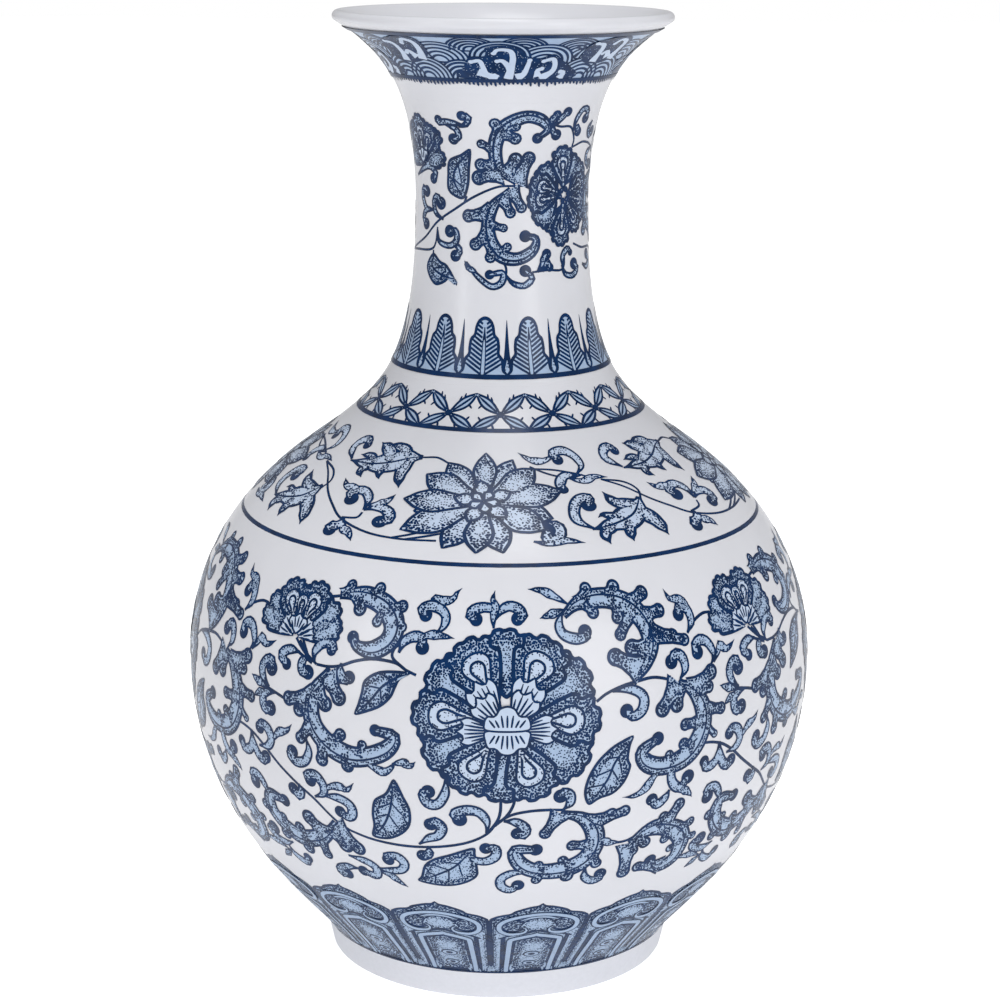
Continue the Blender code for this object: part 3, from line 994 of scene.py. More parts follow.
# Each scroll: its spine, its lobes as (x, y, radius), its ball.
BODY_SCROLLS = (
    (
        (
            (-64, 167), (-57, 168.3), (-49, 167.5), (-42.5, 164.5), (-39, 159), (-40.5, 153.5), (-46, 150),
            (-52, 150.5),
        ),
        (
            (-60, 171, 2.2), (-47.5, 171.3, 2.3), (-37, 166, 2.2), (-36, 158.8, 1.9), (-54, 163.5, 2.6),
            (-46, 159.8, 2),
        ),
        (-54.5, 153.3, 2.4),
    ),
    (
        ((24, 164), (30, 168), (40, 169.3), (49, 166.5), (55, 160), (56.5, 152), (53.5, 145), (50, 141.5)),
        (
            (34, 173, 2.3), (45.5, 172.8, 2.6), (57, 169.5, 2.6), (62.5, 162.5, 2.5), (35.5, 164.5, 2.3),
            (45, 162, 2.4), (45, 156, 2.2), (49, 151, 3), (42, 148.5, 3.0), (61, 154, 2.8), (66, 153, 2.6),
            (71, 151, 2.2),
        ),
        (50, 142, 1.2),
    ),
    (
        (
            (-62, 141), (-67, 134), (-69, 127), (-67, 120), (-61, 114.5), (-53, 111.8), (-45, 113),
            (-38.5, 116.5), (-36.3, 121),
        ),
        (
            (-74, 125, 2.6), (-79, 128, 2.6), (-73.5, 114.8, 2.2), (-64.5, 108.5, 2.5), (-54, 108, 2.4),
            (-63, 129, 2.8), (-57.5, 132, 2.8), (-56.5, 119, 2.2), (-48, 116.5, 1.8),
        ),
        (-43, 122.5, 2.2),
    ),
    (
        (
            (66, 137), (72, 133), (76, 127), (76.5, 120), (73, 113), (67, 108.8), (59, 107.8), (53, 110),
            (51, 114.5),
        ),
        (
            (65, 129, 2.6), (59, 128.5, 2.8), (68.5, 121.5, 2.2), (68, 114.5, 2.2), (62, 111.5, 1.8),
            (81, 138, 2.8), (79.5, 133, 2.2), (85, 124.3, 2.2), (82, 115.5, 1.5),
        ),
        (57, 118.3, 2.5),
    ),
    (
        ((-62, 84), (-66, 79), (-73, 74.5), (-82, 72.5), (-90, 76), (-94.5, 82), (-93, 88)),
        (
            (-60, 74, 3.0), (-54.5, 74, 3.0), (-91, 71.5, 2.5), (-80, 68, 2.8), (-70.5, 67.5, 2.3),
            (-98, 82.5, 2.2), (-89, 79.5, 2.0), (-81, 77, 2.4), (-74.5, 83, 3.1),
        ),
        (-85.5, 87.5, 2.6),
    ),
    (
        (
            (22, 94), (30, 91.5), (35, 86), (36, 79), (33, 73), (27, 69.5), (19, 68.5), (12, 70), (7.5, 74),
            (6.5, 79),
        ),
        (
            (41, 92, 2.2), (46, 92.5, 2.2), (38, 70.5, 2.2), (27, 65.5, 2.6), (15, 64.5, 2.0),
            (17, 86, 2.2), (27.5, 80, 2.2), (24.5, 73.5, 2.0), (15.5, 72, 1.8),
        ),
        (14, 79, 2.6),
    ),
    (
        ((50, 78), (56, 82), (62, 83), (70, 80), (74.5, 75), (75, 69), (73, 65), (67, 63)),
        (
            (63, 87, 2.2), (69, 91, 2.5), (76.5, 82, 2.0), (80, 75, 1.8), (66, 77, 2.2), (70, 71.5, 1.8),
            (57, 77, 2.4), (52.5, 74, 2.3), (57, 65.5, 2.4), (51, 64, 2.8),
        ),
        (62, 67.5, 2.8),
    ),
)

# Each leaf: its outline, its midrib.
BODY_LEAVES = (
    (
        (
            (-31, 143.5), (-36, 144), (-43, 143), (-48, 139.5), (-49, 135), (-50, 131), (-51, 127),
            (-46, 128.5), (-41, 131), (-37.5, 134.5), (-36, 138), (-34.5, 141),
        ),
        ((-31, 143.5), (-36, 141.5), (-41, 138), (-45, 133), (-50, 128)),
    ),
    (
        (
            (-36.5, 105.5), (-40, 100), (-44.5, 96.5), (-46, 91), (-46, 86), (-47, 81), (-41, 80.5),
            (-35, 83.5), (-31.5, 88), (-31, 94), (-33, 99),
        ),
        ((-37, 103), (-38.5, 94), (-41.5, 87), (-46, 81.5)),
    ),
    (
        (
            (47.5, 120.8), (46.5, 117), (46, 112.5), (47, 109.5), (45, 104), (41, 100), (36, 98.5),
            (32, 96.5), (30, 101), (31, 107), (34, 112.5), (38, 116.5), (42, 119),
        ),
        ((46.5, 119), (41, 112), (38.5, 106), (34, 99)),
    ),
    (
        (
            (-9, 80), (-18, 76.5), (-24, 74), (-28, 70.5), (-30, 65), (-31.5, 62), (-24, 60.5), (-17, 61),
            (-11, 63.5), (-7.5, 67), (-7.5, 72), (-8, 77),
        ),
        ((-10, 78), (-16, 71), (-22, 67), (-29.5, 63)),
    ),
)


def body_sheet():
    """A quarter of the wide band, with the large lotus and everything round it."""
    d = Drawing(seed=11)
    for stem in BODY_STEMS:
        d.line(stem, 0.95, level=0, taper=(0.9, 0.9), coat=0)
    for points, knob in BODY_CURLS:
        curl(d, points, knob)
    for points in BODY_FLAMES:
        flame(d, points)
    for spine, lobes, knob in BODY_SCROLLS:
        acanthus(d, spine, lobes, knob)
    for outline, midrib in BODY_LEAVES:
        leaf(d, outline, midrib)
    flower_of_the_belly(d)
    lotus(d, (-79.5, 149.5))
    return d


SPEAR = ((0.0, 0.3), (0.3, 0.7), (0.58, 1.0), (0.8, 0.72), (0.93, 0.3), (1.0, 0.02))


def spear(d, base, angle, start, reach, half, level, shade):
    """A pointed petal, stippled towards its tip."""
    outline = tongue_outline(SPEAR, base, angle, start, reach, half)
    tip = out_from(base, angle, reach)
    d.blob(outline, level, shade=shade, dark=[(*tip, (reach - start) * 0.3)])


def ring_line(d, band, y, width, level=0):
    """A line right across one repeat, so that the repeats make a ring."""
    steps = 24
    side = pitch_of(band) / 2.0
    spine = smooth([(-side, y), (side, y)], steps)
    half = np.full(steps + 1, width / 2.0)
    d.strip(spine, half, half, "ink", level, 0)


SHOULDER_PETALS = (
    (63, 22, 4.2, 1), (131, 23, 4.5, 1), (-74, 22, 4.2, 1), (-117, 22.5, 4.2, 1), (-20, 22, 5, 1),
    (-165, 22, 4.5, 1), (92, 22.5, 4.2, 2), (153, 24.5, 5, 2), (40, 23.5, 5, 2), (10, 26, 5, 2),
    (-34, 22, 5, 2), (-93, 21.5, 4, 2), (-149, 27, 5.2, 2), (-178, 26, 4.8, 3),
)

SHOULDER_STEMS = (
    ((-31, 226.5), (-25, 227), (-20, 225)),
    (
        (-74, 216), (-67, 211.5), (-60, 204.5), (-54, 199.5), (-48, 195), (-38, 191.5), (-28, 190.5),
        (-17, 191),
    ),
    ((-48, 195.5), (-43, 196.5), (-42, 199)),
    ((-30, 190.5), (-23, 193.5), (-19, 197)),
    ((-26, 190.5), (-20, 192.5), (-16, 194)),
    ((-74, 216), (-66, 213.5), (-62.5, 209), (-64.5, 203.5)),
    ((12, 223), (20, 222), (28, 219.5), (33, 217)),
    ((11, 224), (18, 220), (25, 218), (30, 219)),
)

SHOULDER_CURLS = (
    (((-62, 220), (-67, 225), (-65.5, 229), (-61.5, 230)), (-60.5, 227.8, 2.0)),
    (((27, 195), (22.5, 199), (22.5, 204), (25, 208), (28.5, 208.5)), (27.5, 205, 2.3)),
    (((-42, 200), (-42.5, 205), (-46, 208), (-50.5, 206.5)), (-48.6, 203.5, 2.4)),
    (((-42, 200), (-38, 202), (-34, 201), (-32.5, 197.5)), (-35, 196.3, 2.3)),
    (((-47, 195.5), (-47.5, 192), (-50, 191.5)), (-49.5, 189.5, 2.0)),
    (((11, 199), (16, 198), (16.5, 194), (13, 191.5)), (13.3, 196, 1.9)),
    (((28, 219.5), (31, 223), (30, 227.5), (26, 230.5), (21, 229.5)), (22.6, 226.5, 2.1)),
    (((28, 219), (23, 219), (20.5, 215.5)), (21, 212.8, 1.7)),
)

SHOULDER_FLAMES = (
    ((-46, 207.5), (-50, 208.5), (-54, 208.5), (-57, 211.5)),
    ((-42, 202), (-39, 203), (-36, 205), (-34, 208.5)),
    ((-47, 195), (-45.5, 191.5), (-43, 190), (-41, 187)),
    ((9, 191.5), (13, 190.5), (17, 191.5), (23, 190)),
    ((22, 229), (17, 226.5), (12, 227), (7, 230.5)),
    ((24, 218), (29, 216), (34, 217.5), (39, 216.5)),
)

# Each leaf: its midrib from tip to root, its half-widths, and its lobes as root, bend, tip, half-width.
SHOULDER_LEAVES = (
    (
        ((-62, 219.5), (-52, 220), (-44, 222), (-36, 225.5), (-31, 226.5)),
        (0.4, 2.6, 5.0, 5.2, 1.0),
        (
            ((-44, 222), (-47, 227), (-54, 230.3), 3.4),
            ((-36, 224), (-41, 229), (-50, 230), 2.8),
            ((-50, 220.5), (-54, 223.5), (-59.5, 223), 2.0),
            ((-50, 220.5), (-53.5, 216.5), (-51, 213.3), 2.3),
            ((-43, 222), (-45, 217), (-43.5, 214), 2.4),
            ((-36, 225), (-36.5, 218), (-34.3, 211.3), 3.0),
        ),
    ),
    (
        ((26, 195), (33, 196.3), (40, 199), (44, 203), (46, 206)),
        (0.4, 2.8, 5.0, 4.2, 1.0),
        (
            ((44, 203), (37, 205), (34, 210.5), 2.8),
            ((38, 198), (31, 200.5), (29, 199.5), 2.0),
            ((34, 197), (29.5, 193), (30, 188.5), 2.4),
            ((38, 198), (37, 192), (37, 188.5), 2.4),
            ((43, 201), (47, 195), (48.7, 188.6), 3.2),
        ),
    ),
)


def lobed_leaf(d, midrib, widths, lobes, level=1):
    """A leaf with deep lobes: each lobe and the body share one outline."""
    for root, bend, tip, half in lobes:
        shapes = (0.9 * half, half, 0.75 * half, 0.1)
        d.ribbon((root, bend, tip), shapes, level, shade=(0.4, 1.0, 1.0), dark=[(*tip, 3.0)])
    d.ribbon(midrib, widths, level, shade=(0.3, 0.5, 1.0), dark=[(*midrib[0], 4.0)])
    d.line(midrib, 0.7, level, coat=2)


def shoulder_sheet():
    """A quarter of the shoulder's band, with an open flower between lobed leaves."""
    d = Drawing(seed=23)
    for stem in SHOULDER_STEMS:
        d.line(stem, 0.75, level=0, taper=(0.9, 0.9), coat=0)
    for points, knob in SHOULDER_CURLS:
        curl(d, points, knob)
    for points in SHOULDER_FLAMES:
        flame(d, points)
    for midrib, widths, lobes in SHOULDER_LEAVES:
        lobed_leaf(d, midrib, widths, lobes)
    heart = (-5.0, 208.0)
    for angle, reach, half, level in SHOULDER_PETALS:
        spear(d, heart, angle, 2.0, reach, half * 1.12, level, shade=(0.4, 1.0, 1.4))
    for angle in (100, 172, 244, 316, 28):
        spear(d, heart, angle, 0.5, 10.0, 3.0, 4, shade=(0.2, 0.6, 0.7))
    for angle in (64, 136, 208, 280, 352):
        spear(d, heart, angle, 0.3, 5.5, 2.2, 5, shade=(0.2, 0.5, 0.6))
    # The shoulder is printed more thinly than the belly, so its fill is the bare glaze.
    d.shapes["bare"] = d.shapes["wash"]
    d.shapes["wash"] = {}
    return d


def line_sheet():
    """The heavy line above the wide band."""
    d = Drawing(seed=3)
    ring_line(d, SHOULDER, 182.4, 1.6)
    return d


def mirrored(points):
    """The points and their mirror image about x = 0, as one run from left to right."""
    points = [tuple(p) for p in points]
    turned = [(-x, y) for x, y in reversed(points)]
    return points + (turned[1:] if points[-1][0] == 0 else turned)


def lattice_sheet():
    """One crossing of the lattice: four petals from a ball, with ticks along them."""
    d = Drawing(seed=5)
    ring_line(d, LATTICE, 240.2, 1.8, level=2)
    half = pitch_of(LATTICE) / 2.0
    node = (0.0, 247.0)
    rows = ((0.0, 0.15), (0.25, 0.75), (0.5, 1.0), (0.75, 0.75), (1.0, 0.1))
    for x, y in ((half, 255.0), (-half, 255.0), (half, 240.6), (-half, 240.6)):
        angle = math.degrees(math.atan2(y - node[1], x - node[0]))
        reach = math.hypot(x - node[0], y - node[1])
        d.blob(tongue_outline(rows, node, angle, 0.2, reach + 0.5, 2.2), 0, edge=0.75)
        d.line([out_from(node, angle, 1.5), out_from(node, angle, reach - 0.8)], 0.7, 0, taper=(0.9, 0.4))
        up = 1.0 if y > node[1] else -1.0
        hand = 1.0 if x > 0 else -1.0
        for at, lean, out in ((0.42, 74.0, 3.2), (0.62, 80.0, 2.6)):
            start = out_from(node, angle, reach * at, 1.5 * up * hand)
            heading = 90.0 - (90.0 - lean) * hand if up > 0 else -lean
            d.line([start, out_from(start, heading, out * 0.8)], 0.6, 0)
        start = out_from(node, angle, reach * 0.62, -1.5 * up * hand)
        d.line([start, out_from(start, angle - 95.0 * up * hand, 2.0)], 0.6, 0)
    d.knob(0.0, 247.0, 1.3, level=1)
    return d


PLANTAIN_EDGE = (
    (0, 283.4), (2.8, 282.4), (4.4, 280), (5.0, 277), (6.6, 275.4), (7.1, 272), (7.0, 270), (8.6, 268),
    (9.0, 264.5), (9.2, 261),
)
THORN_EDGE = ((-2.4, 262), (-1.2, 270), (-0.35, 280), (0, 282.5), (0.35, 280), (1.2, 270), (2.4, 262))
BUD_EDGE = ((-1.3, 262.6), (-0.9, 266), (0, 268.5), (0.9, 266), (1.3, 262.6))


def leaves_sheet():
    """A plantain leaf with ribs on both sides of its stalk, and the thorn and bud beside it."""
    d = Drawing(seed=7)
    ring_line(d, PLANTAIN, 261.5, 1.8, level=3)
    middle = -7.5
    outline = [(middle + x, y) for x, y in PLANTAIN_EDGE]
    outline += [(middle - x, y) for x, y in PLANTAIN_EDGE[:0:-1]]
    d.blob(outline, 1, edge=1.1, centre=(middle, 270.0))
    edge = smooth(outline, 96, closed=True)
    rib = [(middle, 261.5), (middle, 272.0), (middle, 279.5)]
    for y in np.arange(262.5, 282.0, 1.65):
        for hand in (-1.0, 1.0):
            start = np.array((middle + 0.9 * hand, y))
            probe = start + np.linspace(0.0, 9.5, 40)[:, None] * np.array((0.86 * hand, 0.5))
            inside, away = inside_of(edge, probe)
            free = np.flatnonzero(inside & (away > 0.5))
            if len(free) > 4:
                d.line([start, probe[free[-1]]], 0.76, 1, taper=(0.9, 0.7))
    d.ribbon(rib, (1.15, 1.1, 0.9, 0.25), 2, edge=0.4)
    side = middle + pitch_of(PLANTAIN) / 2.0
    d.blob([(side + x, y) for x, y in THORN_EDGE], 0, fill=None, centre=(side, 266.0))
    d.blob([(side + x, y) for x, y in BUD_EDGE], 0, shade=(0.4, 0.3, 0.5), edge=0.3)
    return d


def lappet_sheet():
    """One lappet: a shaped border, a framed panel with two ovals, and a pair of scrolled eyes over it."""
    d = Drawing(seed=9, dot=0.25, pitch=0.78)
    ring_line(d, LAPPETS, 0.0, 1.9, level=6)
    side = pitch_of(LAPPETS) / 2.0 + 0.05
    outer = ((-side, 0), (-side, 0), (-side, 14), (-side, 28), (-side, 40), (-15.5, 42.6), (-13, 44.2))
    outer += ((-9.8, 45.3), (-8.2, 47), (-4, 49.2), (-1.2, 50), (0, 51.3))
    d.blob(mirrored(outer), 0, shade=(0.85, 1.0, 1.6), edge=1.0, centre=(0, 24))
    inner = ((-15.7, 0.6), (-15.7, 0.6), (-15.6, 12), (-15.5, 28), (-15.3, 36), (-14.4, 40.6))
    inner += ((-12.3, 42.6), (-9, 44.0), (-6, 46.0), (0, 47.6))
    d.blob(mirrored(inner), 1, shade=(0.35, 0.9, 0.9), edge=0.3, centre=(0, 24))
    for hand in (-1.0, 1.0):
        post = ((-12.0, 0.5), (-11.9, 14), (-11.8, 28.5))
        d.line([(hand * x, y) for x, y in post], 1.5, 2, taper=(1.0, 1.0))
    d.line(mirrored(((-13.5, 27.6), (-9.5, 29.9), (-4.5, 31.5), (0, 33.2))), 1.3, 2)
    frame_side = ((-9.9, 0.5), (-9.7, 9), (-9.5, 18), (-9.3, 25.5), (-8.6, 27), (-4.5, 28.8), (-1, 30))
    frame_line = mirrored((*frame_side, (0, 30.6)))
    panel = [frame_line[0], *frame_line, frame_line[-1]]
    d.blob(panel, 3, shade=(0.28, 1.3, 3.4), edge=2.0, centre=(0, 14))
    d.ribbon(frame_line, (1.5, 1.45, 1.45, 1.5), 4, edge=0.42)
    for y, wide, high in ((15, 3.5, 2.3), (7.5, 3.2, 1.9)):
        oval = disc(0.0, 0.0, 1.0, 12) * (wide, high)
        d.blob(oval + (0.0, y), 5, edge=0.5)
        d.blob(oval * 0.42 + (0.0, y), 6, fill=None)
    for hand in (-1.0, 1.0):
        eye = disc(-8.7, 37.2, 4.8, 12) * (hand, 1.0)
        d.blob(eye, 2, shade=(0.6, 1.2, 2.4), edge=1.2)
    middle = mirrored(((-6.2, 35), (-6, 38), (-4, 41), (0, 42.4)))
    d.blob([*middle, (0, 33.5)], 3, shade=(0.35, 0.8, 1.2), edge=0.5)
    brow = mirrored(((-7.4, 40.2), (-5, 41.6), (-2.5, 42.7), (0, 43)))
    d.ribbon(brow, (0.5, 0.9, 0.9, 0.5), 4, edge=0.35)
    ruyi = ((-5.4, 36.2), (-3.9, 34.8), (-4.6, 32.5), (-7.5, 31.4), (-10.5, 31.6), (-13.0, 34), (-13.2, 38))
    ruyi += ((-11, 41), (-7, 43.2), (-3.4, 44.3), (0, 44.7))
    d.ribbon(mirrored(ruyi), (0.75, 1.3, 1.3, 1.25, 1.25, 1.3, 1.3, 0.75), 5, edge=0.42)
    return d


NECK_STEMS = (
    (
        (-50, 303), (-40, 306.5), (-33, 310), (-26, 316), (-18, 321), (-10, 326), (-2, 329.5), (4, 330),
        (8, 330),
    ),
    ((-50, 303.5), (-40, 304.5), (-30, 305.5), (-27, 308), (-26, 314)),
    ((15, 353), (20, 351), (25, 350.5), (27.5, 346), (27, 343)),
    ((11, 299), (17, 299.5), (24, 299.5), (25, 306.5)),
    ((1.5, 297), (1.5, 301), (-1, 305)),
    ((-14, 323.5), (-13, 326)),
    ((-28, 305.5), (-28, 303)),
    ((27, 343), (34, 344.5), (42, 342), (48, 336)),
    ((30, 308), (36, 306), (44, 305.5), (50, 303.5)),
    ((48, 352), (44, 346), (43, 340)),
)

NECK_CURLS = (
    (((-40, 331.5), (-34, 334.5), (-29.5, 335.5), (-26.2, 333)), (-28, 331.3, 1.8)),
    (((-28, 320), (-33, 320.2), (-35.5, 324), (-35, 327.5)), (-32.5, 326.3, 2.0)),
    (((-23, 317), (-27, 319), (-28, 323), (-26.2, 325.2)), (-24.3, 322.7, 2.2)),
    (((-28, 320), (-33, 319.5), (-35, 316.5)), (-33, 314.5, 2.0)),
    (((-26, 313), (-25, 309), (-20, 307.8), (-17, 310), (-17.5, 313.5)), (-20, 313, 2.1)),
    (((-19, 308.5), (-16, 307.5), (-15.8, 305)), (-17.3, 304.4, 2.0)),
    (((-15, 351), (-12, 352), (-11.2, 355)), (-13.3, 355, 1.7)),
    (((-13, 351.5), (-19, 352.5), (-23, 352)), (-22.6, 353.2, 1.5)),
    (((-20, 351.5), (-16, 350), (-15.2, 347)), (-17.3, 346.3, 1.9)),
    (((17, 351), (16.5, 353.5)), (18.2, 355.5, 1.5)),
    (((17.5, 351), (20, 354)), (22.3, 356.3, 1.7)),
    (((17, 352), (17.5, 349.5)), (19, 348, 1.9)),
    (((27, 349), (28, 350.5)), (29, 348.6, 1.7)),
    (((26.5, 349), (27, 353), (29.5, 357), (32.5, 356)), (32, 353.3, 1.8)),
    (((-13, 302.5), (-10, 299), (-6, 295.5), (-3, 294), (0, 295.5), (0.5, 299)), (-4.2, 298.3, 1.6)),
    (((1.7, 298), (4, 295.3), (8, 294.3), (11, 297)), (8.5, 299.6, 2.0)),
    (((13, 299), (15, 301.5), (15.5, 304)), (16.8, 305.2, 1.8)),
    (((15, 299), (17, 302.5)), (18, 300.4, 1.5)),
    (((23.5, 301), (25, 297.5), (29, 296.6), (32, 299)), (30, 300.7, 2.0)),
    (((24, 300), (24, 304), (26.5, 306.5)), (28, 305, 1.2)),
    (((36, 300), (40, 298.5), (43, 300.5)), (41, 303, 1.9)),
    (((38, 352), (36, 349), (37.5, 346.5)), (39.5, 348, 1.9)),
    (((44, 346), (49, 347), (51, 344)), (49, 342, 1.9)),
    (((42, 342), (38, 340), (38.5, 336.5)), (41, 335.8, 1.9)),
)

NECK_SCROLLS = (
    (
        ((5, 331), (-1, 336), (-2.5, 343), (-1, 349), (3, 353), (8, 355), (13, 353.5), (15.5, 350)),
        (
            (-7.2, 345, 1.6), (-2.5, 352.5, 1.9), (-7.5, 337.5, 2.2), (-8.3, 332.8, 2.6), (4.3, 347, 2.1),
            (4.6, 339.5, 2.4), (9.3, 339.8, 2.4), (4.2, 351.4, 1.8),
        ),
        (12, 347, 2.0),
    ),
    (
        ((3, 329), (-3, 323), (-5, 317), (-4, 310), (0, 305), (6, 304), (11.5, 307), (12.5, 311)),
        (
            (-9, 320, 1.8), (-12.3, 319, 2.3), (-9.5, 309, 2.2), (-4, 304.5, 2.0), (3, 320.5, 2.0),
            (7, 322.3, 2.0), (0.6, 315, 1.5), (2, 308.2, 1.6),
        ),
        (8.5, 312, 2.2),
    ),
    (
        ((49, 333), (44, 332), (39.5, 327), (39, 320), (42, 314.5), (48, 312.5), (52, 315)),
        (
            (36, 330, 2.0), (44.5, 325, 2.0), (43.5, 319.5, 1.8), (38, 312, 2.0), (48, 308.5, 2.0),
            (45, 336, 2.0),
        ),
        (50, 319, 2.2),
    ),
)

NECK_PETALS = (
    (97, 18, 5), (160, 15.5, 5), (187, 15.5, 5), (-95, 18.5, 4.5), (22, 14, 4.5), (-15, 14, 4.5),
    (-58, 16, 4),
)

NECK_LEAVES = (
    (
        (
            (-11, 343), (-15, 341), (-20, 338.5), (-21, 333), (-21, 328), (-18, 325.5), (-14, 325),
            (-12, 330), (-11.5, 336),
        ),
        ((-11.5, 342), (-17, 336), (-18, 331), (-14.5, 325.5)),
    ),
    (
        (
            (-28, 304.5), (-31.5, 300), (-30, 296), (-26, 293), (-22, 294), (-19, 296), (-16, 293.5),
            (-18, 297.5), (-21, 301), (-24, 302),
        ),
        ((-28, 303.5), (-28, 299.5), (-23, 297), (-18, 296)),
    ),
)


def neck_sheet():
    """Half of the neck's band: a flower and a lotus among scrolls."""
    d = Drawing(seed=13, dot=0.21, pitch=0.68)
    for stem in NECK_STEMS:
        d.line(stem, 0.75, level=0, taper=(0.9, 0.9), coat=0)
    for points, knob in NECK_CURLS:
        curl(d, points, knob, fat=1.2)
    flame(d, ((-8, 297), (-10, 299.5), (-12.5, 300.5), (-13.5, 303)), fat=1.0)
    for spine, lobes, knob in NECK_SCROLLS:
        acanthus(d, spine, lobes, knob, widths=(1.0, 2.5, 2.8, 2.4, 1.2))
    for outline, midrib in NECK_LEAVES:
        leaf(d, outline, midrib, veins=2)
    heart = (24.5, 326.0)
    for angle in (38, 140, 215, -35, 75, -105):
        petal(d, heart, angle, 4.0, 15.5, 5.2, 1, nested=False, shade=(0.5, 1.0, 1.3))
    for angle, reach, half in NECK_PETALS:
        petal(d, heart, angle, 2.5, reach, half, 2)
    for angle in range(0, 360, 60):
        d.knob(*out_from(heart, angle + 12, 2.1), 1.1, level=5)
    lotus_base = (-33.5, 335.5)
    for angle, reach, half in ((55, 13, 4.2), (125, 13, 4.2), (20, 10, 3.6), (160, 10, 3.6)):
        petal(d, lotus_base, angle, 1.0, reach * 1.3, half, 1, nested=False, shade=(0.5, 1.0, 1.2))
    for angle, reach, half in ((90, 19, 4.6), (68, 17, 4.2), (112, 17, 4.2)):
        petal(d, lotus_base, angle, 2.0, reach, half, 2)
    shell(d, lotus_base, 90, 7.0, 40, 5, ribs=4)
    return d


WAVE_RINGS = 5
LANE = 2.75


def wave(d, x, y, radius, level):
    """A scale of water: a pale half disc with rings of line."""
    turn = np.radians(np.linspace(0.0, 180.0, 25))
    arch = np.stack([np.cos(turn), np.sin(turn)], axis=1)
    outline = [(x + radius * c, y + radius * s) for c, s in arch]
    foot = [(x - radius * 0.5, y - 0.6), (x + radius * 0.5, y - 0.6)]
    d.blob([*outline, *foot], level, edge=0.7, centre=(x, y + radius * 0.4))
    for ring in range(1, WAVE_RINGS):
        size = radius * (1.0 - ring / (WAVE_RINGS + 0.6))
        d.line([(x + size * c, y + size * s) for c, s in arch[::3]], 0.85, level, taper=(0.8, 0.8))


# Each scale of water: x, y, radius and level.
RIM_SCALES = (
    (-10, 383, 8.5, 0.7), (6, 383, 8.5, 0.5), (24, 382, 8.5, 0.7), (-33, 383, 8, 0.5), (-22, 377, 11, 1),
    (14, 376, 11, 2), (-1, 378.5, 10.5, 3), (29, 378, 10.5, 1), (-35.3, 378.5, 10.5, 2),
    (-29.5, 369.2, 10.5, 4), (30.5, 369.2, 10.5, 4), (-15, 369, 9.5, 3),
)

# Each spray: the dark ground behind it, and the white curls on it.
RIM_SPRAYS = (
    (
        (
            (-15, 370), (-14, 375), (-11, 380), (-6, 380.5), (-5.5, 385), (0, 386.5), (5, 384.5),
            (8, 380.5), (13, 379.5), (17, 381.5), (21, 378), (24, 376), (27, 370),
        ),
        (
            ((-2, 370), (-6, 372), (-7, 375), (-8, 378), (-11, 377.5)),
            ((-9, 373), (-6, 371.5), (-3, 371.5)),
            ((2, 370), (3, 375), (3.2, 380), (2, 383.5), (-1.5, 384), (-3, 382)),
            ((3, 374), (0, 378), (-2, 378)),
            ((5, 370.5), (7.5, 372), (8.5, 375), (9, 378.5)),
            ((14, 370), (18, 373), (18.5, 376), (17, 379), (14, 378)),
            ((13, 371), (12.5, 373.5), (14, 374.5)),
            ((22, 370), (23, 372.5), (21.5, 373)),
        ),
    ),
    (
        (
            (-42, 377.5), (-43.5, 383), (-41, 388), (-35, 390.3), (-28, 390.5), (-25.5, 386), (-26, 380),
            (-30, 377), (-36, 376),
        ),
        (
            ((-37, 377), (-36.5, 382), (-37.5, 386), (-40.5, 387)),
            ((-31, 379), (-33, 382), (-34.5, 381)),
            ((-29, 378), (-28, 383), (-28.5, 387.5), (-31.5, 389), (-33, 386.5)),
        ),
    ),
)


def rim_sheet():
    """A quarter of the rim's band: scales of water, with spray breaking over them."""
    d = Drawing(seed=17, dot=0.22, pitch=0.8)
    ring_line(d, RIM, 392.4, 2.2, level=7)
    ring_line(d, RIM, 369.2, 1.5, level=7)
    side = pitch_of(RIM) / 2.0
    spine = smooth([(-side, 380.5), (side, 380.5)], 48)
    for step in range(8):
        low = 369.5 + step * LANE
        lane = spine + (0.0, low + LANE / 2.0 - 380.5)
        half = np.full(49, LANE / 2.0)
        d.strip(lane, half, half, "wash", 0, 0)
    for scale in RIM_SCALES:
        wave(d, *scale)
    for ground, curls in RIM_SPRAYS:
        d.blob(ground, 5, fill=None)
        outline = smooth(ground, 96, closed=True)
        d.stipple(outline, (0.22, 0.0, 1.0), 5, tone="wash")
        for points in curls:
            steps = steps_for(length_of(points), 0.8)
            half = widths_along((1.7, 1.1, 0.9, 0.7), steps)
            d.strip(smooth(points, steps), half, half, "bare", 6, 0)
            tip = points[-1]
            d.patch(disc(*tip, 0.9, 12), tip, "bare", 6, 1)
    for x in np.arange(-side, side - 0.5, 1.7):
        drop = 0.6 + 1.2 * abs(math.sin(x * 1.7) * math.cos(x * 0.9))
        d.line([(x, 368.8), (x + 0.5, 368.4 - drop)], 0.8, 6, taper=(1.0, 0.2))
    return d


# ---------------------------------------------------------------- printing the sheets on the wall


